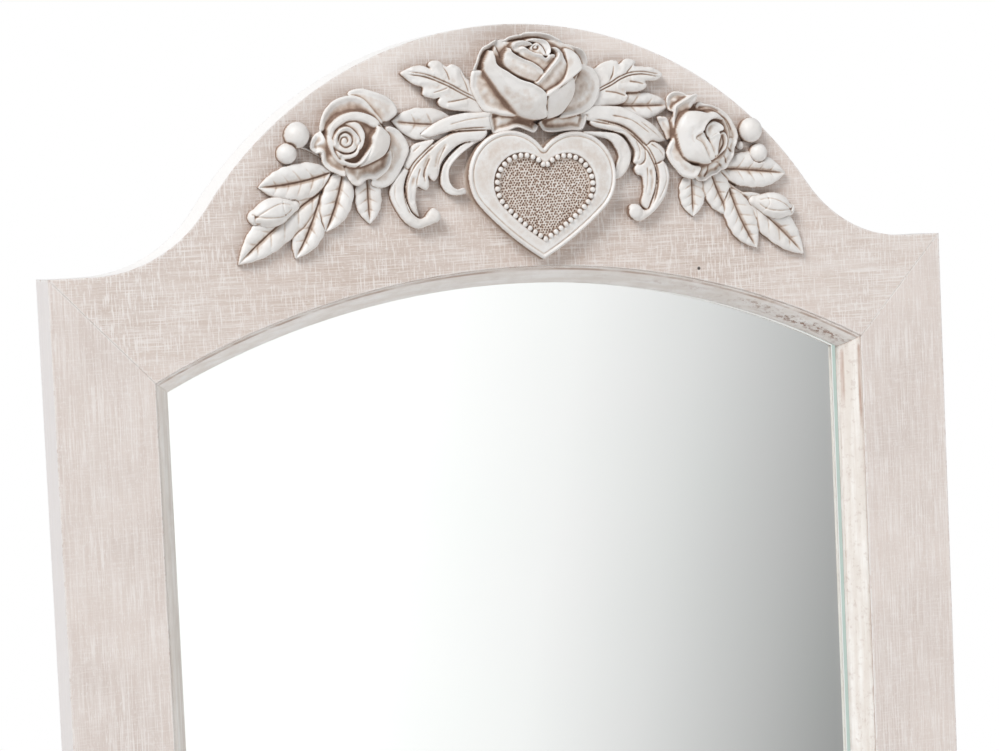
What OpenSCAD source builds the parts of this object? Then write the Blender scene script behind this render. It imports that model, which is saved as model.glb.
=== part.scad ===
// Cheval floor mirror: an arched mirror panel that tilts between two turned posts.
// Origin: on the floor, midway between the posts and straight under the tilt axis.
// +X is the viewer's right, +Y runs away from the viewer, +Z is up. Lengths are in millimetres.

/* [Mirror panel] */
// Width of the panel over its stiles
panel_w = 500; // [460:1:560]
// Height of the panel from its bottom edge to the crown of the arch
panel_h = 1400; // [1200:1:1450]
// Height of the panel's bottom edge above the floor
panel_lift = 125; // [122:1:180]
// Thickness of the stiles and rails
board_t = 24; // [22:0.5:28]
// Face width of the stiles and of the bottom rail
face_w = 51; // [44:1:60]
// Height of the crown above the shoulders
crown_rise = 119; // [112:1:130]
// Radius of the crown's arch
crown_r = 206; // [198:1:220]
// Radius of the hollow between the crown and each shoulder
hollow_r = 72; // [60:1:80]
// Radius of the curve along the top rail's lower edge
sight_r = 440; // [400:1:600]
// Drop from the shoulders to the highest point of that curve
sight_drop = 6; // [0:0.5:12]

/* [Moulding, glass and back] */
// Width of the moulding strip around the glass
moulding_w = 8.8; // [6:0.2:12]
// How far the moulding's lip lies behind the boards' face
moulding_drop = 11; // [6:0.5:12]
// Depth of the quirk between the boards' face and the moulding
quirk_d = 1; // [0.4:0.1:2]
// Thickness of the moulding's lip in front of the glass
lip_t = 3; // [1.5:0.5:4]
// Thickness of the mirror glass
glass_t = 4; // [3:0.5:5]
// Space around the glass in its rebate
glass_gap = 2; // [1:0.5:4]
// Space around the backing board in its rebate
backing_gap = 1; // [0.5:0.5:3]
// Length, width and thickness of a backing clip
clip_size = [26, 12, 1.5];
// Number of backing clips down each side
side_clips = 5; // [3:1:8]
// Leg length of a corner brace
brace_leg = 62; // [50:1:70]
// Width of a corner brace
brace_w = 16; // [12:1:20]
// Thickness of a corner brace
brace_t = 2; // [1.5:0.5:3]

/* [Tilt fitting] */
// Height of the tilt axis above the floor
pivot_h = 870; // [820:1:900]
// Radius of the knob's stud, which is the tilt pin
stud_r = 4; // [3:0.5:5]
// Travel of the stud in one turn of its thread
thread_pitch = 1.25; // [1:0.25:1.5]
// How far the stud reaches into the panel
stud_reach = 14; // [10:1:18]
// Running clearance around the stud
run_fit = 0.06; // [0.02:0.01:0.1]
// Thickness of the pivot plate on the stile's edge
plate_t = 3; // [2:0.5:4]
// Length of the pivot plate
plate_len = 64; // [50:1:80]
// Width of the pivot plate
plate_w = 20; // [18:1:22]
// Radius of the plate's threaded boss inside the stile
boss_r = 6.5; // [6:0.5:8]
// Thickness of the wooden spacer between plate and post
spacer_t = 9; // [5:0.5:14]
// Radius of the spacer
spacer_r = 14; // [12:0.5:16]
// Outer radius of the brass bush in the post
bush_r = 7; // [6:0.5:9]
// Thickness of the washer under the knob
washer_t = 1.5; // [1:0.5:3]
// Radius of the washer
washer_r = 12; // [10:0.5:15]
// Radius of the knob's ball
knob_r = 15; // [12:0.5:18]
// Length of the knob's neck
knob_neck = 10; // [8:0.5:14]

/* [Stand] */
// Width of the square blocks of a post
post_w = 34; // [30:1:40]
// Height of the square block at the foot of a post
base_block_h = 110; // [95:1:150]
// Height of the square block around the tilt axis
pivot_block_h = 90; // [70:1:110]
// Thickest radius of a post's turned shaft
shaft_r = 15; // [13:0.5:17]
// Thinnest radius of a post's turned shaft
waist_r = 10.5; // [9:0.5:12]
// Length of the turned neck above the pivot block
neck_h = 20; // [14:1:40]
// Radius of the finial's ball
finial_r = 15; // [12:0.5:20]
// Length of a foot, front to back
foot_len = 440; // [380:1:520]
// Width of a foot
foot_w = 42; // [38:1:50]
// Height of a foot at the post
foot_h = 60; // [52:1:70]
// Height of a foot's toes
toe_h = 24; // [20:1:30]
// Length of the raised block that carries the post
saddle_len = 72; // [60:1:100]
// Rise of the hollow under a foot
foot_arch = 14; // [8:1:18]
// Height of a glide
glide_h = 4; // [3:0.5:8]
// Radius of a glide
glide_r = 13; // [9:0.5:16]
// Thickness of the stretcher
stretcher_t = 22; // [18:1:28]
// Height of the stretcher at its ends
stretcher_end_h = 28; // [26:1:32]
// Gap between the stretcher's middle and the panel above it
stretcher_clear = 13; // [8:1:25]
// Gap between the top of the feet and the stretcher
stretcher_lift = 4; // [1:0.5:8]

/* [Joinery] */
// Side of the square tenon under a post
tenon_w = 24; // [18:1:26]
// Length of that tenon
tenon_len = 28; // [20:1:32]
// Length, thickness and height of the stretcher's tenons
stretcher_tenon = [18, 10, 20];
// Clearance around tenons, bosses and bushes
joint_gap = 0.1; // [0.05:0.05:0.3]
// Radius of the joint bolts' shanks
bolt_r = 3.5; // [3:0.5:4]
// Radius of the joint bolts' heads
bolt_head_r = 6.5; // [6:0.5:8]
// Height of the joint bolts' heads
bolt_head_h = 5; // [4:0.5:6]
// Radius of the barrel nuts
barrel_r = 6; // [5.5:0.5:8]
// Shank radius of the small wood screws
screw_r = 1.6; // [1.2:0.1:2]
// Head radius of the small wood screws
screw_head_r = 3.4; // [3:0.1:4]
// Shank length of the small wood screws
screw_len = 14; // [10:1:16]

/* [Ornament] */
// Distance of the ornament's middle from the panel's middle
ornament_x = 6.5; // [-10:0.5:10]
// Width of the heart plaque
heart_w = 82.5; // [74:0.5:83]
// Thickness of the heart plaque
heart_t = 8; // [5:0.5:12]
// Height of the heart's tip above the shoulders
heart_z = -2.5; // [-4:0.5:2]
// Radius of the small beads around the heart's field
bead_r = 1.45; // [1.2:0.05:1.6]
// Radius of the centre rose
centre_rose_r = 31; // [30:0.5:33.5]
// Radius of the left rose
left_rose_r = 26; // [22:0.5:26]
// Radius of the right rose
right_rose_r = 24; // [20:0.5:25]
// Thickness of the leaves at their edges
leaf_edge_t = 1.6; // [1:0.2:3]
// Gap between neighbouring pieces of the ornament
ornament_gap = 0.4; // [0.3:0.1:1]

/* [Hidden] */
$fn = 96;
LEFT = -1;
RIGHT = 1;

// --- derived places of the panel ---
half_w = panel_w / 2;
front_y = -board_t / 2;
back_y = board_t / 2;
crown_z = panel_lift + panel_h;
crown_cz = crown_z - crown_r;
shoulder_z = crown_z - crown_rise;
hollow_cz = shoulder_z + hollow_r;
hollow_x = sqrt(pow(crown_r + hollow_r, 2) - pow(hollow_cz - crown_cz, 2));
sill_z = panel_lift + face_w;
sight_half = half_w - face_w;
sight_cz = shoulder_z - sight_drop - sight_r;
corner_z = sight_cz + sqrt(pow(sight_r, 2) - pow(sight_half, 2));
lip_half = sight_half - moulding_w;
lip_r = sight_r - moulding_w;
lip_corner_z = sight_cz + sqrt(pow(lip_r, 2) - pow(lip_half, 2));
glass_y = front_y + moulding_drop + lip_t;
backing_y = glass_y + glass_t;

// --- derived places of the tilt fitting ---
boss_len = stud_reach + 2;
post_in_x = half_w + plate_t + spacer_t;
post_x = post_in_x + post_w / 2;
post_out_x = post_in_x + post_w;
knob_x = post_out_x + washer_t;
knob_len = knob_neck + 2 * knob_r;
stud_seat = knob_neck + 6;
stud_play = 1; // free length left behind the stud's end in the knob
plate_screw_z = plate_len * 0.36; // the plate's screws above and below the axis
flush_gap = 0.2; // how far the plate's screws stay below its face

// --- derived places of the stand ---
foot_top = glide_h + foot_h;
shaft_z = foot_top + base_block_h;
pivot_block_z = pivot_h - pivot_block_h / 2;
neck_z = pivot_h + pivot_block_h / 2;
post_top = neck_z + neck_h;
stretcher_z = foot_top + stretcher_lift;
stretcher_top = panel_lift - stretcher_clear;
stretcher_rise = stretcher_top - stretcher_z - stretcher_end_h;
bolt_z = stretcher_z + stretcher_end_h / 2;
barrel_in = 50; // from the post's inner face to the middle of the barrel nut
bolt_past_barrel = 10;
foot_bolt_past = 4; // how far the foot's bolt goes on above the foot
counterbore_d = bolt_head_h + 2;
hex_r = bolt_r * 0.9; // the key's socket in a bolt's head
finial_dowel_r = 5;
finial_dowel_len = 16;
collar_r = post_w * 0.36; // the turned parts at the top of a post
glide_y = foot_len / 2 - toe_h / 2 - glide_r;

// ---------------------------------------------------------------- helpers

// Extrudes an outline drawn in X and Z from depth y0 back to depth y1
module upright(y0, y1) {
    translate([0, y1, 0]) rotate([90, 0, 0]) linear_extrude(y1 - y0) children();
}

// A cylinder along +X from x0 to x1
module rod_x(r, x0, x1, y = 0, z = 0) {
    translate([x0, y, z]) rotate([0, 90, 0]) cylinder(r = r, h = x1 - x0);
}

// Turns a profile of radius and length about an axis along X, outward on either side
module turned_x(side, x, z, profile) {
    translate([side * x, 0, z]) rotate([0, side * 90, 0]) rotate_extrude() polygon(profile);
}

// Puts a shape drawn for the right side on either side
module on_side(side) {
    if (side == LEFT) mirror([1, 0, 0]) children();
    else children();
}

module both_sides() {
    for (side = [LEFT, RIGHT]) on_side(side) children();
}

function arc(cx, cy, r, a0, a1, steps) =
    [for (i = [0 : steps]) let (a = a0 + (a1 - a0) * i / steps) [cx + r * cos(a), cy + r * sin(a)]];

function mix(a, b, t) = a + (b - a) * t;

// A smooth curve through hand-placed points, with steps pieces between two of them
function spline_at(p, i, t) =
    let (last = len(p) - 1, a = p[max(i - 1, 0)], b = p[i], c = p[min(i + 1, last)], d = p[min(i + 2, last)])
    0.5 * (2 * b + (c - a) * t + (2 * a - 5 * b + 4 * c - d) * t * t + (3 * b - a - 3 * c + d) * t * t * t);
function spline(p, steps) =
    concat([for (i = [0 : len(p) - 2]) for (k = [0 : steps - 1]) spline_at(p, i, k / steps)],
           [p[len(p) - 1]]);

// A closed solid between two grids of points of the same size: the one at its back, and the one
// on the side that rows cross columns points to
module grid_solid(rear, face) {
    rows = len(rear);
    cols = len(rear[0]);
    count = rows * cols;
    function at(i, j) = i * cols + j;
    edge = concat([for (j = [0 : cols - 2]) [at(0, j), at(0, j + 1)]],
                  [for (i = [0 : rows - 2]) [at(i, cols - 1), at(i + 1, cols - 1)]],
                  [for (j = [cols - 1 : -1 : 1]) [at(rows - 1, j), at(rows - 1, j - 1)]],
                  [for (i = [rows - 1 : -1 : 1]) [at(i, 0), at(i - 1, 0)]]);
    cells = [for (i = [0 : rows - 2]) for (j = [0 : cols - 2]) [i, j]];
    top = [for (c = cells) each [[at(c[0], c[1]), at(c[0] + 1, c[1]), at(c[0] + 1, c[1] + 1)],
                                 [at(c[0], c[1]), at(c[0] + 1, c[1] + 1), at(c[0], c[1] + 1)]]];
    bottom = [for (f = top) [f[2] + count, f[1] + count, f[0] + count]];
    wall = [for (e = edge) each [[e[0], e[1], e[1] + count], [e[0], e[1] + count, e[0] + count]]];
    polyhedron(concat([for (row = rear) each row], [for (row = face) each row]), concat(top, bottom, wall));
}

// ---------------------------------------------------------------- mirror panel

module panel_outline() {
    $fn = 180;
    difference() {
        polygon([[-half_w, panel_lift], [half_w, panel_lift], [half_w, shoulder_z],
                 [hollow_x, shoulder_z], [hollow_x, hollow_cz], [0, crown_cz],
                 [-hollow_x, hollow_cz], [-hollow_x, shoulder_z], [-half_w, shoulder_z]]);
        for (side = [LEFT, RIGHT]) translate([side * hollow_x, hollow_cz]) circle(r = hollow_r);
    }
    translate([0, crown_cz]) circle(r = crown_r);
}

// The opening inside the boards, drawn smaller by a gap
module rebate_outline(gap) {
    $fn = 180;
    intersection() {
        union() {
            translate([0, sight_cz]) circle(r = sight_r - gap);
            translate([-half_w, panel_lift]) square([panel_w, sight_cz - panel_lift]);
        }
        translate([gap - sight_half, sill_z + gap]) square([2 * (sight_half - gap), panel_h]);
    }
}

// The hole of a wood screw driven from behind through a face at depth y
module screw_hole(x, z, y = back_y) {
    translate([x, y + 1, z]) rotate([90, 0, 0])
        cylinder(r = screw_r + joint_gap / 2, h = screw_len + 1.5, $fn = 24);
}

// A round-headed wood screw driven from behind, its head's underside at depth y
module back_screw(x, z, y) {
    translate([x, y, z]) rotate([90, 0, 0]) cylinder(r = screw_r, h = screw_len - 1, $fn = 24);
    translate([x, y, z]) rotate([-90, 0, 0]) cylinder(r = screw_head_r, h = screw_head_r / 2, $fn = 32);
}

clip_step = (corner_z - sill_z) / side_clips;
side_clip_z = [for (i = [0 : side_clips - 1]) sill_z + clip_step * (i + 0.5)];
end_clip_x = [-sight_half / 2, sight_half / 2];
clip_screw_in = clip_size[0] / 4;
top_clip_z = [for (x = end_clip_x) sight_cz + sqrt(pow(sight_r, 2) - pow(x, 2))];
brace_x = half_w - face_w / 2;
brace_top_z = (shoulder_z + corner_z) / 2;
brace_bottom_z = panel_lift + face_w / 2;
brace_holes = [0.45 * brace_leg, 0.82 * brace_leg];

module stile_outline() {
    polygon([[half_w, panel_lift], [half_w, shoulder_z], [sight_half, corner_z], [sight_half, sill_z]]);
}

module stile(side) {
    color("mistyrose") on_side(side) difference() {
        upright(front_y, back_y) stile_outline();
        for (z = side_clip_z) screw_hole(sight_half + clip_screw_in, z);
        for (d = brace_holes) {
            screw_hole(brace_x, brace_top_z - d);
            screw_hole(brace_x, brace_bottom_z + d);
        }
        rod_x(boss_r + joint_gap, half_w - boss_len - joint_gap, half_w + 1, 0, pivot_h);
        for (end = [-1, 1])
            rod_x(screw_r + joint_gap / 2, half_w - screw_len, half_w + 1, 0,
                  pivot_h + end * plate_screw_z, $fn = 24);
    }
}

module top_rail() {
    color("mistyrose") difference() {
        upright(front_y, back_y) difference() {
            intersection() {
                panel_outline();
                polygon([[-half_w, shoulder_z], [-sight_half, corner_z], [sight_half, corner_z],
                         [half_w, shoulder_z], [half_w, crown_z + 10], [-half_w, crown_z + 10]]);
            }
            translate([0, sight_cz]) circle(r = sight_r, $fn = 180);
        }
        for (i = [0, 1]) screw_hole(end_clip_x[i], top_clip_z[i] + clip_screw_in);
        for (side = [LEFT, RIGHT]) for (d = brace_holes) screw_hole(side * (brace_x - d), brace_top_z);
    }
}

module bottom_rail() {
    color("mistyrose") difference() {
        upright(front_y, back_y)
            polygon([[-half_w, panel_lift], [half_w, panel_lift],
                     [sight_half, sill_z], [-sight_half, sill_z]]);
        for (x = end_clip_x) screw_hole(x, sill_z - clip_screw_in);
        for (side = [LEFT, RIGHT]) for (d = brace_holes) screw_hole(side * (brace_x - d), brace_bottom_z);
    }
}

// Cross-section of the moulding: distance in from the boards' edge, and depth
moulding_curve = 6;
moulding_section = concat(
    [[0, glass_y], [0, front_y + quirk_d]],
    [for (i = [0 : moulding_curve]) let (t = i / moulding_curve)
        [mix(quirk_d, moulding_w, t), front_y + mix(quirk_d, moulding_drop, pow(t, 1.3))]],
    [[moulding_w, glass_y]]);

module side_moulding(side) {
    color("white") on_side(side) intersection() {
        translate([sight_half, 0, sill_z]) linear_extrude(panel_h)
            polygon([for (p = moulding_section) [-p[0], p[1]]]);
        upright(front_y - 1, back_y)
            polygon([[sight_half, sill_z], [sight_half, corner_z],
                     [lip_half, lip_corner_z], [lip_half, sill_z + moulding_w]]);
    }
}

module top_moulding() {
    sweep = asin(sight_half / sight_r) + 3;
    color("white") intersection() {
        translate([0, 0, sight_cz]) rotate([90, 0, 0]) rotate([0, 0, 90 - sweep])
            rotate_extrude(angle = 2 * sweep, $fn = 360)
                polygon([for (p = moulding_section) [sight_r - p[0], -p[1]]]);
        upright(front_y - 1, back_y)
            polygon([[-sight_half, corner_z], [-lip_half, lip_corner_z], [lip_half, lip_corner_z],
                     [sight_half, corner_z], [sight_half, crown_z], [-sight_half, crown_z]]);
    }
}

module bottom_moulding() {
    color("white") intersection() {
        translate([half_w, 0, sill_z]) rotate([90, 0, -90])
            linear_extrude(panel_w) polygon([for (p = moulding_section) [-p[1], p[0]]]);
        upright(front_y - 1, back_y)
            polygon([[-sight_half, sill_z], [sight_half, sill_z],
                     [lip_half, sill_z + moulding_w], [-lip_half, sill_z + moulding_w]]);
    }
}

module mirror_glass() {
    color("lightgray") upright(glass_y, backing_y) rebate_outline(glass_gap);
}

module backing_board() {
    color("tan") upright(backing_y, back_y) rebate_outline(backing_gap);
}

// A flat clip that laps the backing board, its long side along X or along Z
module clip(x, z, size) {
    difference() {
        translate([x - size[0] / 2, back_y, z - size[1] / 2]) cube([size[0], size[2], size[1]]);
        children();
    }
}

module backing_clips() {
    tall = [clip_size[1], clip_size[0], clip_size[2]];
    color("silver") {
        both_sides() for (z = side_clip_z)
            clip(sight_half, z, clip_size) screw_hole(sight_half + clip_screw_in, z, back_y + clip_size[2]);
        for (i = [0, 1]) {
            clip(end_clip_x[i], top_clip_z[i], tall)
                screw_hole(end_clip_x[i], top_clip_z[i] + clip_screw_in, back_y + clip_size[2]);
            clip(end_clip_x[i], sill_z, tall)
                screw_hole(end_clip_x[i], sill_z - clip_screw_in, back_y + clip_size[2]);
        }
    }
}

module clip_screws() {
    head_y = back_y + clip_size[2];
    color("silver") {
        both_sides() for (z = side_clip_z) back_screw(sight_half + clip_screw_in, z, head_y);
        for (i = [0, 1]) {
            back_screw(end_clip_x[i], top_clip_z[i] + clip_screw_in, head_y);
            back_screw(end_clip_x[i], sill_z - clip_screw_in, head_y);
        }
    }
}

module brace(z, down) {
    w = brace_w / 2;
    difference() {
        upright(back_y, back_y + brace_t)
            polygon([[brace_x + w, z - down * w], [brace_x + w, z + down * brace_leg],
                     [brace_x - w, z + down * brace_leg], [brace_x - w, z + down * w],
                     [brace_x - brace_leg, z + down * w], [brace_x - brace_leg, z - down * w]]);
        for (d = brace_holes) {
            screw_hole(brace_x - d, z, back_y + brace_t);
            screw_hole(brace_x, z + down * d, back_y + brace_t);
        }
    }
}

module corner_braces() {
    color("silver") both_sides() {
        brace(brace_top_z, -1);
        brace(brace_bottom_z, 1);
    }
}

module brace_screws() {
    color("silver") both_sides() for (d = brace_holes) {
        back_screw(brace_x - d, brace_top_z, back_y + brace_t);
        back_screw(brace_x, brace_top_z - d, back_y + brace_t);
        back_screw(brace_x - d, brace_bottom_z, back_y + brace_t);
        back_screw(brace_x, brace_bottom_z + d, back_y + brace_t);
    }
}

// ---------------------------------------------------------------- tilt fitting

module pivot_plate(side) {
    color("silver") on_side(side) difference() {
        union() {
            translate([half_w, -plate_w / 2, pivot_h - plate_len / 2]) cube([plate_t, plate_w, plate_len]);
            rod_x(boss_r, half_w - boss_len, half_w + plate_t / 2, 0, pivot_h);
        }
        rod_x(stud_r + run_fit, half_w - boss_len - 1, half_w + plate_t + 1, 0, pivot_h);
        for (end = [-1, 1]) {
            z = pivot_h + end * plate_screw_z;
            rod_x(screw_r + joint_gap, half_w - 1, half_w + plate_t + 1, 0, z, $fn = 24);
            rod_x(screw_head_r + joint_gap, half_w + plate_t / 2, half_w + plate_t + 1, 0, z, $fn = 32);
        }
    }
}

// The plates' screws sit flush, so that nothing scrapes the spacers
module pivot_screws() {
    color("silver") both_sides() for (end = [-1, 1]) {
        z = pivot_h + end * plate_screw_z;
        rod_x(screw_r, half_w - screw_len + 2, half_w + plate_t / 2 + flush_gap, 0, z, $fn = 24);
        rod_x(screw_head_r, half_w + plate_t / 2, half_w + plate_t - flush_gap, 0, z, $fn = 32);
    }
}

module bush(side) {
    color("goldenrod") on_side(side) difference() {
        rod_x(bush_r, post_in_x, post_out_x, 0, pivot_h);
        rod_x(stud_r + run_fit, post_in_x - 1, post_out_x + 1, 0, pivot_h);
    }
}

module spacer(side) {
    color("antiquewhite") on_side(side) difference() {
        rod_x(spacer_r, half_w + plate_t, post_in_x, 0, pivot_h);
        rod_x(stud_r + joint_gap, half_w + plate_t - 1, post_in_x + 1, 0, pivot_h);
    }
}

module washer(side) {
    color("goldenrod") on_side(side) difference() {
        rod_x(washer_r, post_out_x, knob_x, 0, pivot_h);
        rod_x(stud_r + run_fit, post_out_x - 1, knob_x + 1, 0, pivot_h);
    }
}

module stud(side) {
    color("silver") on_side(side)
        rod_x(stud_r, half_w - stud_reach, knob_x + stud_seat - stud_play, 0, pivot_h);
}

module knob(side) {
    neck_r = knob_r * 0.5;
    base_r = knob_r * 0.72;
    base_h = 2.5;
    cove_h = 6;
    join_a = asin(neck_r / knob_r);
    ball_h = knob_neck + knob_r * cos(join_a);
    color("goldenrod") difference() {
        turned_x(side, knob_x, pivot_h, concat(
            [[0, 0], [base_r, 0], [base_r, base_h], [base_r * 0.85, (base_h + cove_h) / 2], [neck_r, cove_h]],
            arc(0, ball_h, knob_r, join_a - 90, 90, 20)));
        on_side(side) rod_x(stud_r + joint_gap / 2, knob_x - 1, knob_x + stud_seat, 0, pivot_h);
    }
}

// ---------------------------------------------------------------- stand

// The turned shaft between the two square blocks: a fillet, a bead and a step at both ends
shaft_len = pivot_block_z - shaft_z;
fillet_h = 3;
bead_z = 6;
bead_h = 10;
step_r = waist_r + 1.5;
bead_len = 20;
bead_steps = 6;
root = 1; // how far turned ends run into the blocks
shaft_bead = concat(
    [[waist_r, -root], [shaft_r, -root], [shaft_r, fillet_h]],
    [for (i = [0 : bead_steps]) let (t = i / bead_steps)
        [mix(waist_r, shaft_r, sin(180 * t)), bead_z + bead_h * t]],
    [[step_r, bead_z + bead_h + 1], [step_r, bead_len]]);
shaft_profile = concat(
    [[0, -root]], shaft_bead,
    [for (i = [1 : 15]) let (t = i / 16)
        [mix(waist_r, shaft_r, pow(sin(180 * pow(t, 0.62)), 1.5)), mix(bead_len, shaft_len - bead_len, t)]],
    [for (i = [len(shaft_bead) - 1 : -1 : 0]) [shaft_bead[i][0], shaft_len - shaft_bead[i][1]]],
    [[0, shaft_len + root]]);

module block(z, h) {
    translate([post_x - post_w / 2, -post_w / 2, z]) cube([post_w, post_w, h]);
}

module post(side) {
    neck_base_r = collar_r + 2;
    color("mistyrose") on_side(side) difference() {
        union() {
            translate([post_x - tenon_w / 2, -tenon_w / 2, foot_top - tenon_len])
                cube([tenon_w, tenon_w, tenon_len + 1]);
            block(foot_top, base_block_h);
            translate([post_x, 0, shaft_z]) rotate_extrude() polygon(shaft_profile);
            block(pivot_block_z, pivot_block_h);
            translate([post_x, 0, neck_z]) rotate_extrude()
                polygon([[0, -root], [neck_base_r, -root], [neck_base_r, neck_h * 0.15],
                         [collar_r, neck_h * 0.3], [collar_r * 0.75, neck_h * 0.6],
                         [collar_r, neck_h * 0.9], [collar_r, neck_h], [0, neck_h]]);
        }
        rod_x(bush_r + joint_gap / 2, post_in_x - 1, post_out_x + 1, 0, pivot_h);
        translate([post_in_x, 0, 0]) stretcher_mortise();
        rod_x(bolt_r + joint_gap, post_in_x - 1, post_out_x + 1, 0, bolt_z);
        rod_x(bolt_head_r + joint_gap, post_out_x - counterbore_d, post_out_x + 1, 0, bolt_z);
        translate([post_x, 0, foot_top - tenon_len - 1])
            cylinder(r = bolt_r + joint_gap, h = tenon_len + foot_bolt_past + 2);
        translate([post_x, 0, post_top - finial_dowel_len - 1])
            cylinder(r = finial_dowel_r + joint_gap, h = finial_dowel_len + 2);
    }
}

// The mortise for the stretcher's tenon, its mouth at x = 0
module stretcher_mortise() {
    t = stretcher_tenon;
    translate([-1, -t[1] / 2 - joint_gap, bolt_z - t[2] / 2 - joint_gap])
        cube([t[0] + 1 + joint_gap, t[1] + 2 * joint_gap, t[2] + 2 * joint_gap]);
}

module finial(side) {
    rim_r = collar_r + 1.5;
    rim_h = 5;
    stem_z = rim_h + 3;
    stem_top = stem_z + 4;
    tip_h = 8;
    stem_r = collar_r * 0.55;
    join_a = asin(stem_r / finial_r);
    ball_z = stem_top + finial_r * cos(join_a);
    tip_a = 70;
    color("mistyrose") translate([side * post_x, 0, post_top]) rotate_extrude()
        polygon(concat(
            [[0, -finial_dowel_len], [finial_dowel_r, -finial_dowel_len], [finial_dowel_r, 0], [collar_r, 0],
             [rim_r, rim_h * 0.3], [rim_r, rim_h * 0.7], [collar_r, rim_h],
             [stem_r, stem_z], [stem_r, stem_top]],
            arc(0, ball_z, finial_r, join_a - 86, tip_a, 16),
            [[finial_r * cos(tip_a), ball_z + finial_r * sin(tip_a) + 2], [3, ball_z + finial_r + tip_h - 1],
             [0, ball_z + finial_r + tip_h]]));
}

// Side view of a foot: Y across the page, Z up
module foot_outline() {
    half = foot_len / 2;
    nose = toe_h / 2;
    cove = foot_h - toe_h;
    arch_end = 8;
    arch_half = glide_y - glide_r - arch_end;
    arch_r = (pow(arch_half, 2) + pow(foot_arch, 2)) / (2 * foot_arch);
    difference() {
        union() {
            translate([nose - half, glide_h]) square([foot_len - toe_h, toe_h]);
            for (end = [-1, 1]) translate([end * (half - nose), glide_h + nose]) circle(r = nose);
            translate([-saddle_len / 2 - cove, glide_h]) square([saddle_len + 2 * cove, foot_h]);
        }
        for (end = [-1, 1]) translate([end * (saddle_len / 2 + cove), foot_top]) circle(r = cove);
        translate([0, glide_h + foot_arch - arch_r]) circle(r = arch_r, $fn = 360);
    }
}

module foot(side) {
    color("mistyrose") on_side(side) difference() {
        translate([post_x - foot_w / 2, 0, 0]) rotate([90, 0, 90]) linear_extrude(foot_w) foot_outline();
        translate([post_x, 0, foot_top - tenon_len - joint_gap])
            linear_extrude(tenon_len + 1) square(tenon_w + 2 * joint_gap, center = true);
        translate([post_x, 0, 0]) cylinder(r = bolt_r + joint_gap, h = foot_top);
        translate([post_x, 0, 0])
            cylinder(r = bolt_head_r + joint_gap, h = glide_h + foot_arch + counterbore_d);
    }
}

module glides() {
    color("dimgray") both_sides() for (end = [-1, 1])
        translate([post_x, end * glide_y, 0]) cylinder(r = glide_r, h = glide_h);
}

module foot_bolts() {
    head_z = glide_h + foot_arch + counterbore_d;
    color("silver") both_sides() translate([post_x, 0, head_z]) difference() {
        union() {
            translate([0, 0, -bolt_head_h]) cylinder(r = bolt_head_r, h = bolt_head_h);
            cylinder(r = bolt_r, h = foot_top + foot_bolt_past - head_z);
        }
        translate([0, 0, -bolt_head_h - 1]) cylinder(r = hex_r, h = bolt_head_h * 0.6 + 1, $fn = 6);
    }
}

module stretcher() {
    t = stretcher_tenon;
    crown = (pow(post_in_x, 2) + pow(stretcher_rise, 2)) / (2 * stretcher_rise);
    color("mistyrose") difference() {
        union() {
            upright(-stretcher_t / 2, stretcher_t / 2) intersection() {
                translate([-post_in_x, stretcher_z])
                    square([2 * post_in_x, stretcher_end_h + stretcher_rise]);
                translate([0, stretcher_top - crown]) circle(r = crown, $fn = 360);
            }
            translate([-post_in_x - t[0], -t[1] / 2, bolt_z - t[2] / 2])
                cube([2 * (post_in_x + t[0]), t[1], t[2]]);
        }
        both_sides() {
            rod_x(bolt_r + joint_gap, post_in_x - barrel_in - bolt_past_barrel - barrel_r, post_out_x,
                  0, bolt_z);
            translate([post_in_x - barrel_in, stretcher_t / 2 + 1, bolt_z]) rotate([90, 0, 0])
                cylinder(r = barrel_r + joint_gap, h = stretcher_t + 2);
        }
    }
}

module stretcher_bolts() {
    head_x = post_out_x - counterbore_d;
    color("silver") both_sides() difference() {
        union() {
            rod_x(bolt_head_r, head_x, head_x + bolt_head_h, 0, bolt_z);
            rod_x(bolt_r, post_in_x - barrel_in - bolt_past_barrel, head_x + 1, 0, bolt_z);
        }
        rod_x(hex_r, head_x + bolt_head_h * 0.4, head_x + bolt_head_h + 1, 0, bolt_z, $fn = 6);
    }
}

module barrel_nuts() {
    color("silver") both_sides() difference() {
        translate([post_in_x - barrel_in, stretcher_t / 2 - 1, bolt_z]) rotate([90, 0, 0])
            cylinder(r = barrel_r, h = stretcher_t - 2);
        rod_x(bolt_r + joint_gap / 2, post_in_x - barrel_in - barrel_r - 1,
              post_in_x - barrel_in + barrel_r + 1, 0, bolt_z);
    }
}

// ---------------------------------------------------------------- ornament

ornament_room = 60; // height in front of the face that holds every part of the ornament

// Places on the top rail's face are [x from the ornament's middle, z above the shoulders]
module on_face() {
    translate([ornament_x, front_y, shoulder_z]) rotate([90, 0, 0]) children();
}

// Keeps what lies in front of the boards' face
module in_front() {
    intersection() {
        children();
        translate([-half_w, -panel_h, 0]) cube([panel_w, panel_h * 2, ornament_room]);
    }
}

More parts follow.
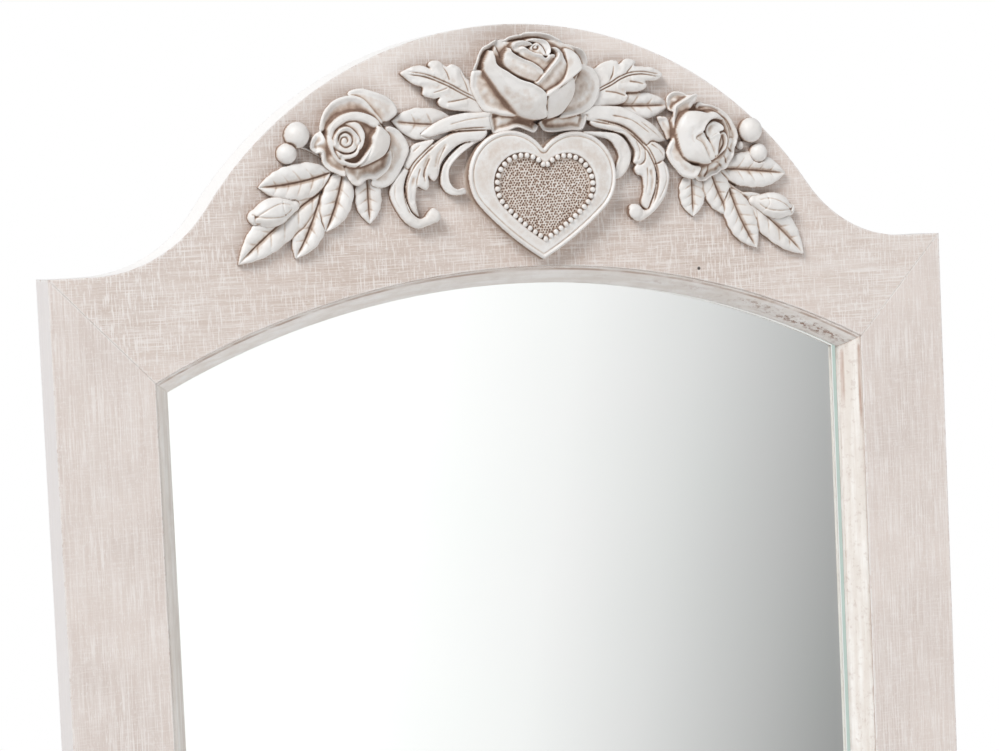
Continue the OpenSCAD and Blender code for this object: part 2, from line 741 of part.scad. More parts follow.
heart_lobe_r = heart_w * 0.28;
heart_lobe_x = heart_w / 2 - heart_lobe_r;
heart_lobe_z = heart_w * 0.517;
heart_side_a = 45;
heart_side_k = (pow(heart_lobe_x, 2) + pow(heart_lobe_z, 2) - pow(heart_lobe_r, 2))
    / (2 * (heart_lobe_r + heart_lobe_x * cos(heart_side_a) - heart_lobe_z * sin(heart_side_a)));
heart_side_x = heart_lobe_x - heart_side_k * cos(heart_side_a);
heart_side_z = heart_lobe_z + heart_side_k * sin(heart_side_a);
heart_half = concat(
    arc(heart_lobe_x, heart_lobe_z, heart_lobe_r, acos(-heart_lobe_x / heart_lobe_r), -heart_side_a, 20),
    arc(heart_side_x, heart_side_z, heart_side_k + heart_lobe_r, -heart_side_a - 2.5,
        atan2(-heart_side_z, -heart_side_x), 5));
heart_points = concat(heart_half,
    [for (i = [len(heart_half) - 2 : -1 : 1]) [-heart_half[i][0], heart_half[i][1]]]);
heart_mid = heart_w * 0.36;
heart_x = 4.5; // right of the ornament's middle
heart_lean = 2.5; // clockwise

// A place on the heart, given from its own upright middle
function on_heart(p) = [heart_x + p[0] * cos(heart_lean) + p[1] * sin(heart_lean),
                        heart_z + heart_mid + p[1] * cos(heart_lean) - p[0] * sin(heart_lean)];

// The heart's outline, shrunk or grown about its own middle
module heart(k) {
    polygon([for (p = heart_points) on_heart([p[0], p[1] - heart_mid] * k)]);
}

heart_field_k = 0.735; // the sunk field's size as a share of the plaque's
heart_field_t = heart_t - 1.4;
heart_rim_t = 0.6; // how far the rim stands out
bead_path_k = 0.655; // the row of beads, as a share of the plaque's outline
bead_trim_k = 0.725; // the beads are trimmed where they would touch the wall of the field
bead_pitch = 2.35; // distance between beads in bead radii

module heart_plaque() {
    color("whitesmoke") on_face() difference() {
        union() {
            linear_extrude(heart_t - heart_rim_t) heart(1);
            linear_extrude(heart_t) difference() {
                heart(0.985);
                heart(0.945);
            }
        }
        translate([0, 0, heart_field_t]) linear_extrude(heart_t) heart(heart_field_k);
    }
}

// Distances along a path to each of its points, and the point at one such distance
function run_length(p) =
    [for (i = 0, d = 0; i < len(p); d = d + (i + 1 < len(p) ? norm(p[i + 1] - p[i]) : 0), i = i + 1) d];
function point_at(p, run, s) =
    let (k = max([for (i = [0 : len(p) - 2]) if (run[i] <= s) i]), t = (s - run[k]) / (run[k + 1] - run[k]))
    mix(p[k], p[k + 1], t);

module heart_beads() {
    path = [for (p = concat(heart_points, [heart_points[0]])) on_heart([p[0], p[1] - heart_mid] * bead_path_k)];
    run = run_length(path);
    total = run[len(run) - 1];
    count = floor(total / (bead_r * bead_pitch));
    color("white") on_face() intersection() {
        for (i = [0 : count - 1]) {
            p = point_at(path, run, total * (i + 0.5) / count);
            translate([p[0], p[1], heart_field_t + bead_r * 0.35])
                sphere(r = bead_r, $fn = 24);
        }
        translate([0, 0, heart_field_t]) linear_extrude(bead_r * 4) heart(bead_trim_k);
    }
}

// A rose at a place on the face, lifted off it, leaned by angles about X and Y:
// a ring of open petals around a ball with three nested lips
rose_petals = 5;
petal_out = 0.47;
petal_r = 0.5;
petal_drop = 0.12;
rose_core_r = 0.66;
rose_lips = [[0, 0.45], [0.5, 0.45], [0.55, 0.55], [0.5, 0.61], [0.44, 0.52], [0.39, 0.66], [0.33, 0.68],
             [0.27, 0.54], [0.21, 0.74], [0.14, 0.75], [0.1, 0.6], [0, 0.7]];

function lean_x(p, a) = [p[0], p[1] * cos(a) - p[2] * sin(a), p[1] * sin(a) + p[2] * cos(a)];
function lean_y(p, a) = [p[0] * cos(a) + p[2] * sin(a), p[1], p[2] * cos(a) - p[0] * sin(a)];

module rose(at, lift, r, ax, ay, turn) {
    middle = [at[0], at[1], lift];
    in_front() {
        translate(middle) sphere(r = rose_core_r * r);
        for (i = [0 : rose_petals - 1]) {
            a = turn + 360 * i / rose_petals;
            petal = [petal_out * cos(a), petal_out * sin(a), -petal_drop];
            translate(middle + r * lean_y(lean_x(petal, ax), ay)) sphere(r = petal_r * r);
        }
    }
    translate(middle) rotate([ax, ay, 0]) scale(r) rotate_extrude() polygon(rose_lips);
}

// Room that a rose keeps clear of the leaves around it
module rose_room(x, z, r) {
    translate([x, z, -1]) cylinder(r = r + ornament_gap, h = ornament_room);
}

left_rose_at = [-104, 62.5];
right_rose_at = [97, 56];
centre_rose_tilt = 38;
// The two lowest petals of the centre rose stand on the heart's lobes
centre_rose_x = 4;
low_petal_axis = [petal_out * cos(54), -petal_out * sin(54), -petal_drop];
low_petal = centre_rose_r * lean_x(low_petal_axis, -centre_rose_tilt);
low_petal_room = heart_lobe_r + petal_r * centre_rose_r + ornament_gap;
centre_rose_z = max([for (side = [LEFT, RIGHT])
    let (lobe = on_heart([side * heart_lobe_x, heart_lobe_z - heart_mid]),
         apart = lobe[0] - centre_rose_x - side * low_petal[0])
    lobe[1] - low_petal[1] + sqrt(pow(low_petal_room, 2) - pow(apart, 2))]);
centre_rose_at = [centre_rose_x, centre_rose_z];

module heart_room() {
    translate([0, 0, -1]) linear_extrude(ornament_room) heart(1 + 2 * ornament_gap / heart_w);
}

module centre_rose() {
    color("whitesmoke") on_face() rose(centre_rose_at, 1.5, centre_rose_r, -centre_rose_tilt, 0, 18);
}

module left_rose() {
    color("whitesmoke") on_face() rose(left_rose_at, 0, left_rose_r, -6, -10, 0);
}

module right_rose() {
    color("whitesmoke") on_face() rose(right_rose_at, 1.5, right_rose_r, 0, 42, 30);
}

// A leaf or frond that lies on the face: middle line, half widths and heights at its points,
// with a groove along its midrib
module frond(points, widths, heights, steps, notches = 0) {
    line = spline(points, steps);
    wide = spline(widths, steps);
    high = spline(heights, steps);
    last = len(line) - 1;
    function side_of(i) =
        let (d = line[min(i + 1, last)] - line[max(i - 1, 0)]) [-d[1], d[0]] / norm(d);
    across = [-1, -0.55, 0, 0.55, 1];
    crown = [0, 0.8, 0.62, 0.8, 0];
    upper = [for (i = [0 : last]) [for (j = [0 : 4])
        let (n = side_of(i), cut = 1 - notches * (i % 2), p = line[i] + n * wide[i] * across[j] * cut)
        [p[0], p[1], leaf_edge_t + high[i] * crown[j]]]];
    lower = [for (row = upper) [for (p = row) [p[0], p[1], 0]]];
    grid_solid(lower, upper);
}

// Leaves: place of the base, place of the tip, width, sideways bend and height
left_leaf_list = [[[-110, 50], [-147.5, 41.5], 18, 2, 5],
                  [[-124, 30], [-161, 2.5], 17, -1, 4],
                  [[-114, 44], [-132, 5], 15, 2, 4],
                  [[-104, 46], [-115, 17.5], 14, 1, 4],
                  [[-93, 45], [-92.5, 20.5], 12, 0, 4]];
right_leaf_list = [[[110, 40], [146.5, 36], 17, 0, 5],
                   [[120, 26], [155.5, -5], 17, 2, 4],
                   [[112, 38], [127, -0.5], 15, -1, 4],
                   [[101, 42], [111.5, 19], 14, -1, 4],
                   [[92, 40], [91, 17], 12, 0, 4]];
crest_leaf_w = 25;
crest_leaf_list = [[[-22, 78], [-72, 95], crest_leaf_w, -3, 6],
                   [[-28, 68], [-78, 70], 13, 3, 4],
                   [[22, 80], [74.5, 93], crest_leaf_w, 4, 6],
                   [[28, 76], [79, 74], 13, -3, 4]];
crest_notches = [0.22, 0.1, 0.22, 0.1]; // depth of the notches along those leaves' edges

// A leaf of such a list, with notches along its edges
module leaf(values, notches = 0) {
    base = values[0];
    tip = values[1];
    w = values[2];
    bend = values[3];
    high = values[4];
    side = [base[1] - tip[1], tip[0] - base[0]] / norm(tip - base);
    steps = notches > 0 ? 2 : 1;
    shape = [0.12, 0.72, 0.97, 0.95, 0.62, 0.05];
    stations = [0, 0.18, 0.38, 0.6, 0.82, 1];
    frond([for (s = stations) mix(base, tip, s) + side * bend * sin(180 * s)], shape * w / 2,
          [0.4, 0.8, 1, 1, 0.7, 0.2] * high, steps, notches);
}

module left_leaves() {
    color("whitesmoke") on_face() difference() {
        for (values = left_leaf_list) leaf(values);
        rose_room(left_rose_at[0], left_rose_at[1], left_rose_r);
        bud_room(left_bud);
        berry_room(left_berry_list);
    }
}

module right_leaves() {
    color("whitesmoke") on_face() difference() {
        for (values = right_leaf_list) leaf(values);
        rose_room(right_rose_at[0], right_rose_at[1], right_rose_r);
        bud_room(right_bud);
        berry_room(right_berry_list);
    }
}

module crest_leaves() {
    color("whitesmoke") on_face() difference() {
        for (i = [0 : 3]) leaf(crest_leaf_list[i], crest_notches[i]);
        rose_room(centre_rose_at[0], centre_rose_at[1], centre_rose_r);
        rose_room(left_rose_at[0], left_rose_at[1], left_rose_r);
        rose_room(right_rose_at[0], right_rose_at[1], right_rose_r);
        scroll_room();
        on_right() scroll_room();
    }
}

// An acanthus scroll beside the heart: a long outer frond that curls in at its foot,
// and a shorter one inside it
scroll_line = [[-18, 67], [-36, 66], [-50, 60.5], [-62, 51], [-69.5, 40.5], [-71.5, 31], [-68, 22.5],
               [-62, 19], [-57.5, 21]];
scroll_wide = [5, 7.5, 8, 8, 6.5, 5, 4, 3.4, 3.4];
scroll_high = [5, 6, 6.5, 6.5, 5.5, 5, 4.5, 4, 4.5];
scroll_knob_at = [-57, 21.5, 2];
scroll_knob_r = 4;
curl_line = [[-24, 61], [-33, 58.5], [-41, 53.5], [-47, 47.5], [-49, 41.5], [-46.5, 35.5], [-40, 32.5]];
curl_wide = [3, 3.2, 3, 2.8, 2.6, 2.4, 2.2];
curl_high = [5, 5.5, 5.5, 5, 4.5, 4, 3];
right_scroll_x = 4.5; // the right scroll stands further out than the left one

module scroll_room() {
    frond(scroll_line, [for (w = scroll_wide) w + ornament_gap], [for (h = scroll_high) h + ornament_room], 3);
}

module scroll() {
    frond(scroll_line, scroll_wide, scroll_high, 3);
    frond(curl_line, curl_wide, curl_high, 3);
    intersection() {
        translate(scroll_knob_at) sphere(r = scroll_knob_r, $fn = 20);
        translate([-heart_w, 0, 0]) cube([heart_w, heart_w, ornament_room]);
    }
}

module on_right() {
    translate([right_scroll_x, 0, 0]) mirror([1, 0, 0]) children();
}

module left_scroll() {
    color("whitesmoke") on_face() difference() {
        scroll();
        heart_room();
        rose_room(centre_rose_at[0], centre_rose_at[1], centre_rose_r);
        rose_room(left_rose_at[0], left_rose_at[1], left_rose_r);
    }
}

module right_scroll() {
    color("whitesmoke") on_face() difference() {
        on_right() scroll();
        heart_room();
        rose_room(centre_rose_at[0], centre_rose_at[1], centre_rose_r);
        rose_room(right_rose_at[0], right_rose_at[1], right_rose_r);
    }
}

// A bud: place of its base, place of its tip, and radius
left_bud = [[-131, 27.5], [-154, 26.5], 7];
right_bud = [[132, 19.5], [151, 18], 6.5];

bud_steps = 4;
function bud_middle(bud, t) = mix(bud[0], bud[1], 0.12 + 0.72 * t);
function bud_radius(bud, t) = bud[2] * (0.72 + 0.28 * sin(180 * pow(t, 0.8))) * (1 - 0.45 * t * t);

module bud_shape(bud) {
    for (t = [0 : 1 / bud_steps : 1]) {
        p = bud_middle(bud, t);
        translate([p[0], p[1], bud[2] * 0.35]) sphere(r = bud_radius(bud, t), $fn = 20);
    }
}

module bud_room(bud) {
    for (t = [0 : 1 / bud_steps : 1]) {
        p = bud_middle(bud, t);
        translate([p[0], p[1], -1]) cylinder(r = bud_radius(bud, t) + ornament_gap, h = ornament_room);
    }
}

module rose_buds() {
    color("whitesmoke") on_face() in_front() {
        bud_shape(left_bud);
        bud_shape(right_bud);
    }
}

// Berries: place and radius
left_berry_list = [[-136.5, 65.5, 6], [-140, 54.5, 5.2]];
right_berry_list = [[127, 60, 5.6], [129.5, 49, 5]];

module berries(list) {
    color("whitesmoke") on_face() in_front()
        for (b = list) translate([b[0], b[1], b[2] * 0.4]) sphere(r = b[2], $fn = 32);
}

module berry_room(list) {
    for (b = list) rose_room(b[0], b[1], b[2]);
}

// ---------------------------------------------------------------- nodes

stile(LEFT);  // left_stile
stile(RIGHT);  // right_stile
top_rail();
bottom_rail();
side_moulding(LEFT);  // left_moulding
side_moulding(RIGHT);  // right_moulding
top_moulding();
bottom_moulding();
mirror_glass();
backing_board();
backing_clips();
clip_screws();
corner_braces();
brace_screws();
pivot_plate(LEFT);  // left_pivot_plate
pivot_plate(RIGHT);  // right_pivot_plate
pivot_screws();
heart_plaque();
heart_beads();
centre_rose();
left_rose();
right_rose();
left_scroll();
right_scroll();
left_leaves();
right_leaves();
crest_leaves();
rose_buds();
berries(left_berry_list);  // left_berries
berries(right_berry_list);  // right_berries
post(LEFT);  // left_post
post(RIGHT);  // right_post
finial(LEFT);  // left_finial
finial(RIGHT);  // right_finial
foot(LEFT);  // left_foot
foot(RIGHT);  // right_foot
stretcher();
glides();
foot_bolts();
stretcher_bolts();
barrel_nuts();
bush(LEFT);  // left_bush
bush(RIGHT);  // right_bush
spacer(LEFT);  // left_spacer
spacer(RIGHT);  // right_spacer
washer(LEFT);  // left_washer
washer(RIGHT);  // right_washer
stud(LEFT);  // left_stud
stud(RIGHT);  // right_stud
knob(LEFT);  // left_knob
knob(RIGHT);  // right_knob
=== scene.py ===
import math

import bpy
import numpy as np
from mathutils import Matrix, Vector


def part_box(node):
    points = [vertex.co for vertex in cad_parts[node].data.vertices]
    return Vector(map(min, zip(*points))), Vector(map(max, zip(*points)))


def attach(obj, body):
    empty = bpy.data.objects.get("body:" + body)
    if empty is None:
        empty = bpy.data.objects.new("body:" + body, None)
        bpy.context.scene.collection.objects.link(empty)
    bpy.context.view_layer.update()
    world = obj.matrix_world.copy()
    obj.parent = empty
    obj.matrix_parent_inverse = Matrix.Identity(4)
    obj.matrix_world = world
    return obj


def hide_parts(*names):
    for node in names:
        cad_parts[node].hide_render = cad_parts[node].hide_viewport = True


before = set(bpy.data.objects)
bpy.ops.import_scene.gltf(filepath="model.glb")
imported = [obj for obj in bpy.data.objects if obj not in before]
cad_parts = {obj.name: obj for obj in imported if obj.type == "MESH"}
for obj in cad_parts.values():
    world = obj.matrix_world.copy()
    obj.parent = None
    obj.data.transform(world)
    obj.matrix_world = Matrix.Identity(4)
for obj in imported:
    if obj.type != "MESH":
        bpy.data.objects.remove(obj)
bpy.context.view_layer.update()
MM = 0.001
scene = bpy.context.scene


# ------------------------------------------------------------------ places taken from the frame
def mm_box(node):
    low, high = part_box(node)
    return [v / MM for v in low], [v / MM for v in high]


BODY = "mirror"
heart_low, heart_high = mm_box("heart_plaque")
glass_low, glass_high = mm_box("mirror_glass")
SHOULDER_Z = mm_box("right_stile")[1][2]
FACE_Y = mm_box("top_rail")[0][1]
HEART_W = heart_high[0] - heart_low[0]
HEART_LEAN = math.radians(2.5)  # clockwise
HEART_X = 4.5  # right of the ornament's middle, as in the solids
MIDDLE_X = (heart_low[0] + heart_high[0]) / 2 - HEART_X - 0.157 * HEART_W * math.sin(HEART_LEAN)

# the arch over the glass: its centre's height and its strip's outer radius
corner_z = max(v.co.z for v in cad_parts["mirror_glass"].data.vertices
               if abs(abs(v.co.x / MM) - glass_high[0]) < 0.05) / MM
ARCH_Z = (glass_high[2] ** 2 - corner_z**2 - glass_high[0] ** 2) / (2 * (glass_high[2] - corner_z))
ARCH_R = mm_box("top_moulding")[1][2] - ARCH_Z

NAIL = (101.5, -12)  # the nail hole: from the panel's middle, above the shoulders
SCRATCHES = ((191.3, -95, -60), (197.6, -106, -57))  # on the mouldings: x, ends above the shoulders


# ------------------------------------------------------------------ node helpers
class Tree:
    """Short ways to add nodes to a tree and join them."""

    def __init__(self, tree):
        self.tree = tree

    def node(self, kind, inputs=(), **settings):
        made = self.tree.nodes.new(kind)
        for key, value in settings.items():
            setattr(made, key, value)
        for key, value in dict(inputs).items():
            self.put(made.inputs[key], value)
        return made

    def put(self, socket, value):
        if isinstance(value, bpy.types.NodeSocket):
            self.tree.links.new(value, socket)
        else:
            socket.default_value = value

    def math(self, operation, a, b=0.0, clamp=False):
        made = self.node("ShaderNodeMath", {0: a, 1: b}, operation=operation)
        made.use_clamp = clamp
        return made.outputs[0]

    def times(self, *factors):
        made = factors[0]
        for factor in factors[1:]:
            made = self.math("MULTIPLY", made, factor)
        return made

    def mix(self, factor, a, b):
        made = self.node("ShaderNodeMix", data_type="RGBA")
        for socket, value in ((0, factor), (6, a), (7, b)):
            self.put(made.inputs[socket], value)
        return made.outputs[2]

    def ramp(self, value, low, high, to_low=0.0, to_high=1.0):
        made = self.node("ShaderNodeMapRange", {0: value, 1: low, 2: high, 3: to_low, 4: to_high})
        made.clamp = True
        return made.outputs[0]

    def place(self):
        """The object's own coordinates, in metres."""
        return self.node("ShaderNodeTexCoord").outputs["Object"]

    def noise(self, scale, detail=4.0, rough=0.55, turn=(0, 0, 0)):
        """Noise scaled along each of the object's axes and turned."""
        at = self.node("ShaderNodeMapping", {0: self.place()})
        at.inputs["Scale"].default_value = scale
        at.inputs["Rotation"].default_value = turn
        inputs = {"Vector": at.outputs[0], "Scale": 1.0, "Detail": detail, "Roughness": rough}
        return self.node("ShaderNodeTexNoise", inputs).outputs[0]

    def axis(self, name):
        return self.node("ShaderNodeSeparateXYZ", {0: self.place()}).outputs[name]

    def distance_to(self, x, y, z):
        """Distance in metres from a place given in mm."""
        made = self.node("ShaderNodeVectorMath", {0: self.place()}, operation="DISTANCE")
        made.inputs[1].default_value = (x * MM, y * MM, z * MM)
        return made.outputs["Value"]

    def hollows(self, reach, samples, *levels):
        """Rises as the surroundings close in."""
        near = self.node("ShaderNodeAmbientOcclusion", {"Distance": reach}, samples=samples)
        return self.ramp(near.outputs["AO"], *levels)

    def rounded(self, radius):
        return self.node("ShaderNodeBevel", {"Radius": radius}, samples=4).outputs[0]

    def flat(self):
        return self.node("ShaderNodeNewGeometry").outputs["True Normal"]

    def edges(self, radius, *levels):
        """Rises where the surface turns within the radius."""
        both = {0: self.rounded(radius), 1: self.flat()}
        same = self.node("ShaderNodeVectorMath", both, operation="DOT_PRODUCT")
        return self.ramp(same.outputs["Value"], *levels)


class Surface(Tree):
    """A new material with one shader."""

    def __init__(self, name):
        self.material = bpy.data.materials.new(name)
        self.material.use_nodes = True
        super().__init__(self.material.node_tree)
        self.tree.nodes.clear()
        out = self.node("ShaderNodeOutputMaterial")
        self.shader = self.node("ShaderNodeBsdfPrincipled")
        self.tree.links.new(self.shader.outputs[0], out.inputs[0])

    def set(self, colour, rough, more=()):
        for socket, value in {"Base Color": colour, "Roughness": rough, **dict(more)}.items():
            self.put(self.shader.inputs[socket], value)

    def bump(self, strength, distance, height, soften=0.0):
        inputs = {"Strength": strength, "Distance": distance, "Height": height}
        if soften:
            inputs["Normal"] = self.rounded(soften)
        self.put(self.shader.inputs["Normal"], self.node("ShaderNodeBump", inputs).outputs[0])


def rgb(*seen):
    """A colour given as it is seen on a screen, from 0 to 255."""
    return tuple(((c / 255 + 0.055) / 1.055) ** 2.4 if c > 10 else c / 3294 for c in seen) + (1,)


# ------------------------------------------------------------------ materials
WASH = rgb(243, 238, 235)


def rail_tones_and_shade(t, body):
    """Lighter towards the crown and browner low in the middle, with painted shade around the ornament."""
    up = t.axis("Z")
    crown = t.ramp(up, (SHOULDER_Z + 40) * MM, (SHOULDER_Z + 105) * MM, 0, 0.5)
    body = t.mix(crown, body, rgb(241, 233, 227))
    middle = t.ramp(t.math("ABSOLUTE", t.axis("X")), 0.19, 0.1)
    low = t.ramp(up, (SHOULDER_Z + 35) * MM, (SHOULDER_Z + 5) * MM, 0, 0.5)
    body = t.mix(t.times(middle, low), body, rgb(190, 168, 154))
    # painted shade: browner where the ornament and other parts close in on the board
    return t.mix(t.hollows(0.014, 8, 0.99, 0.45, 0, 0.6), body, rgb(184, 161, 145))


def rail_marks(t, body):
    """Slanting scrapes of paint towards the right mitre, and a nail hole: a dark disc of painted shade."""
    scrape = t.ramp(t.noise((22, 260, 520), turn=(0, 0.3, 0)), 0.57, 0.65)
    right = t.ramp(t.axis("X"), 0.12, 0.16, 0, 0.6)
    below = t.ramp(t.axis("Z"), SHOULDER_Z * MM, (SHOULDER_Z - 12) * MM)
    body = t.mix(t.times(right, below, scrape), body, WASH)
    # painted shade: the hole is not cut, so its dark inside is painted
    hole = t.ramp(t.distance_to(NAIL[0], FACE_Y, SHOULDER_Z + NAIL[1]), 0.0011, 0.0007)
    return t.mix(hole, body, rgb(70, 62, 58))


def washed_wood(name, grain, cross=0.25, dark=(213, 200, 193), light=(225, 213, 206), rail=False):
    """Whitewashed pine: combed pale threads along and across the grain, worn edges, painted light on the
    sides and a painted highlight along the edges.
    """
    t = Surface(name)

    def stretch(wide, long, way=grain):
        return tuple(long if axis == way else wide for axis in "XYZ")

    long = t.ramp(t.noise(stretch(420, 14)), 0.4, 0.68)
    thread = t.ramp(t.noise(stretch(1250, 42), rough=0.6), 0.48, 0.6)
    weave = t.ramp(t.noise(stretch(1150, 110, "Z" if grain == "X" else "X"), rough=0.6), 0.52, 0.61)
    fleck = t.ramp(t.noise(stretch(1400, 420), detail=3, rough=0.6), 0.57, 0.66)
    cloud = t.ramp(t.noise((16, 16, 16)), 0.36, 0.64)
    patch = t.ramp(t.noise((55, 55, 55), rough=0.6), 0.4, 0.62)
    body = t.mix(cloud, rgb(*dark), rgb(*light))
    if rail:
        body = rail_tones_and_shade(t, body)
    body = t.mix(t.times(thread, t.ramp(patch, 0, 1, 0.3, 0.65)), body, WASH)
    body = t.mix(t.times(weave, t.ramp(cloud, 0, 1, cross, cross * 0.6)), body, WASH)
    body = t.mix(t.times(long, 0.3), body, WASH)
    body = t.mix(t.times(fleck, 0.4), body, rgb(244, 241, 239))
    if rail:
        body = rail_marks(t, body)
    if grain != "Y":  # painted light: the boards' sides are painted lighter than their faces, near white on the rail
        facing = t.math("ABSOLUTE", t.node("ShaderNodeSeparateXYZ", {0: t.flat()}).outputs["Y"])
        white = rgb(254, 253, 252) if rail else rgb(240, 237, 237)
        body = t.mix(t.ramp(facing, 0.6, 0.4, 0, 0.9 if rail else 0.75), body, white)
    edge = t.edges(0.0018, 0.995, 0.8)
    fray = t.ramp(t.noise((200, 200, 200), detail=5, rough=0.75), 0.54, 0.6)
    # painted highlight: a pale line along the rounded edges; the brown fray after it is wear
    body = t.mix(t.times(edge, 0.8), body, rgb(250, 248, 246))
    body = t.mix(t.times(edge, fray, 0.5), body, rgb(186, 152, 136))
    t.set(body, t.ramp(thread, 0, 1, 0.74, 0.6))
    t.bump(0.25, 0.0003, t.math("ADD", t.times(thread, 0.7), t.times(weave, 0.5)), 0.0008)
    return t.material


def arch_wear(t, body, spots, side):
    """Over the glass: chips in one broken band by the glass, and painted shade by the rail: a brown line
    in place of the uncut quirk.
    """
    out = t.math("SUBTRACT", ARCH_R * MM, t.distance_to(0, FACE_Y, ARCH_Z))
    patchy = t.ramp(t.noise((45, 110, 110), detail=3), 0.45, 0.56)
    flaked = t.ramp(t.noise((300, 420, 420), detail=6, rough=0.75), 0.49, 0.54)
    band = t.times(t.ramp(out, 0.0032, 0.0042), t.ramp(out, 0.0078, 0.0068))
    band = t.times(band, t.times(patchy, flaked), t.times(side, 0.9))
    # painted shade: a brown line where the quirk between moulding and rail would lie in shade
    line = t.ramp(t.math("ABSOLUTE", t.math("SUBTRACT", out, 0.0016)), 0.0007, 0.0002)
    ragged = t.ramp(t.noise((40, 300, 300)), 0.35, 0.6, 0.15, 0.8)
    body = t.mix(t.times(line, ragged), body, rgb(170, 140, 124))
    return body, t.math("MAXIMUM", t.times(spots, 0.25), band)


def scratch(t, body, place, low, high):
    """A long upright scratch down to the brown."""
    low, high = (SHOULDER_Z + low) * MM, (SHOULDER_Z + high) * MM
    across = t.math("ABSOLUTE", t.math("SUBTRACT", t.axis("X"), place * MM))
    along = t.times(t.ramp(t.axis("Z"), low, low + 0.012), t.ramp(t.axis("Z"), high, high - 0.003))
    ragged = t.ramp(t.noise((500, 500, 40)), 0.3, 0.7, 0.3, 0.9)
    mark = t.times(t.ramp(across, 0.0009, 0.0003), t.times(along, ragged))
    return t.mix(mark, body, rgb(170, 128, 108))


def worn_paint(name, grain, chips, dark, light, scratches=(), arched=False):
    """Chalky off-white paint on the moulding, chipped and rubbed through in places, with painted shade where
    the surroundings close in.
    """
    t = Surface(name)

    def stretch(wide, long):
        return tuple(long if axis == grain else wide for axis in "XYZ")

    streak = t.ramp(t.noise(stretch(300, 20), detail=5, rough=0.6), 0.4, 0.65)
    grime = t.ramp(t.noise((90, 90, 90), detail=5, rough=0.7), 0.45, 0.7)
    body = t.mix(streak, rgb(*dark), rgb(*light))
    body = t.mix(t.times(grime, 0.3), body, rgb(214, 202, 193))
    rub = t.ramp(t.noise(stretch(160, 24), detail=6, rough=0.7), 0.5, 0.56)
    body = t.mix(t.times(rub, t.edges(0.0012, 0.99, 0.85), 0.85), body, rgb(184, 148, 128))
    side = t.ramp(t.axis("X"), 0.04, 0.15)  # the right half is chipped more
    spots = t.ramp(t.noise((330, 330, 330), detail=5, rough=0.75), 0.56, 0.61)
    spots = t.times(spots, side, chips)
    if arched:
        body, spots = arch_wear(t, body, spots, side)
    body = t.mix(spots, body, rgb(158, 122, 104))
    for mark in scratches:
        body = scratch(t, body, *mark)
    # painted shade: darker by the glass and in the corners, where the surroundings close in
    body = t.mix(t.hollows(0.0012, 6, 0.7, 0.3), body, rgb(176, 146, 128))
    t.set(body, t.ramp(streak, 0, 1, 0.62, 0.5))
    t.bump(0.35, 0.0004, t.math("SUBTRACT", streak, t.times(spots, 2.0)), 0.0008)
    return t.material


def cast_white(name, sculpted=True):
    """Cast composition, off-white with a brown wash left in the hollows."""
    t = Surface(name)
    mottle = t.noise((230, 230, 230), detail=6, rough=0.7)
    if sculpted:
        wash = t.node("ShaderNodeAttribute", attribute_name="wash").outputs["Fac"]
    else:
        wash = t.hollows(0.0025, 6, 0.85, 0.3)
    wash = t.math("ADD", wash, t.ramp(mottle, 0.3, 0.7, -0.14, 0.14), clamp=True)
    cloud = t.ramp(t.noise((60, 60, 60), rough=0.6), 0.42, 0.66)
    body = t.mix(t.times(cloud, 0.5), rgb(234, 232, 230), rgb(220, 213, 207))
    body = t.mix(t.ramp(wash, 0.05, 0.34), body, rgb(214, 203, 194))
    body = t.mix(t.ramp(wash, 0.34, 0.64), body, rgb(180, 159, 144))
    body = t.mix(t.ramp(wash, 0.64, 1.0), body, rgb(126, 101, 86))
    t.set(body, t.ramp(wash, 0, 1, 0.45, 0.85))
    t.bump(0.15, 0.0003, t.noise((900, 900, 900), detail=3))
    return t.material


def metal(name, colour, rough, grime=(60, 50, 40)):
    """Brushed metal, with painted shade in the corners."""
    t = Surface(name)
    patch = t.ramp(t.noise((120, 120, 120), detail=6, rough=0.65), 0.4, 0.7)
    # painted shade: darker where the surroundings close in (the grime argument is its colour)
    corner_shade = t.times(t.hollows(0.004, 4, 0.8, 0.3), 0.6)
    body = t.mix(t.times(patch, 0.3), rgb(*colour), rgb(*(c * 0.8 for c in colour)))
    rough = t.ramp(patch, 0, 1, rough, rough + 0.15)
    t.set(t.mix(corner_shade, body, rgb(*grime)), rough, {"Metallic": 1.0})
    t.bump(0.05, 0.0002, t.noise((900, 900, 60), detail=3), 0.0004)
    return t.material


def hardboard(name):
    t = Surface(name)
    fibre = t.noise((500, 500, 220), detail=6, rough=0.7)
    cloud = t.noise((9, 9, 9), detail=3)
    body = t.mix(t.ramp(fibre, 0.35, 0.7), rgb(128, 96, 66), rgb(166, 132, 98))
    body = t.mix(t.ramp(cloud, 0.4, 0.7, 0, 0.35), body, rgb(112, 82, 56))
    t.set(body, t.ramp(fibre, 0.3, 0.7, 0.6, 0.85))
    t.bump(0.3, 0.0004, fibre)
    return t.material


def hazy(name, scale, dark, light, smooth, dull, more):
    """Two tones that lie close together, mixed by a noise that also sets the roughness."""
    t = Surface(name)
    haze = t.noise((scale, scale, scale), detail=2)
    body = t.mix(t.ramp(haze, 0.3, 0.7), rgb(*dark), rgb(*light))
    t.set(body, t.ramp(haze, 0.3, 0.7, smooth, dull), more)
    return t.material


def felt(name):
    t = Surface(name)
    fuzz = t.noise((1500, 1500, 1500), rough=0.7)
    body = t.mix(t.ramp(fuzz, 0.3, 0.7), rgb(74, 68, 64), rgb(112, 104, 98))
    t.set(body, t.ramp(fuzz, 0.3, 0.7, 0.85, 1.0), {"Sheen Weight": 0.4})
    t.bump(0.6, 0.0006, fuzz)
    return t.material


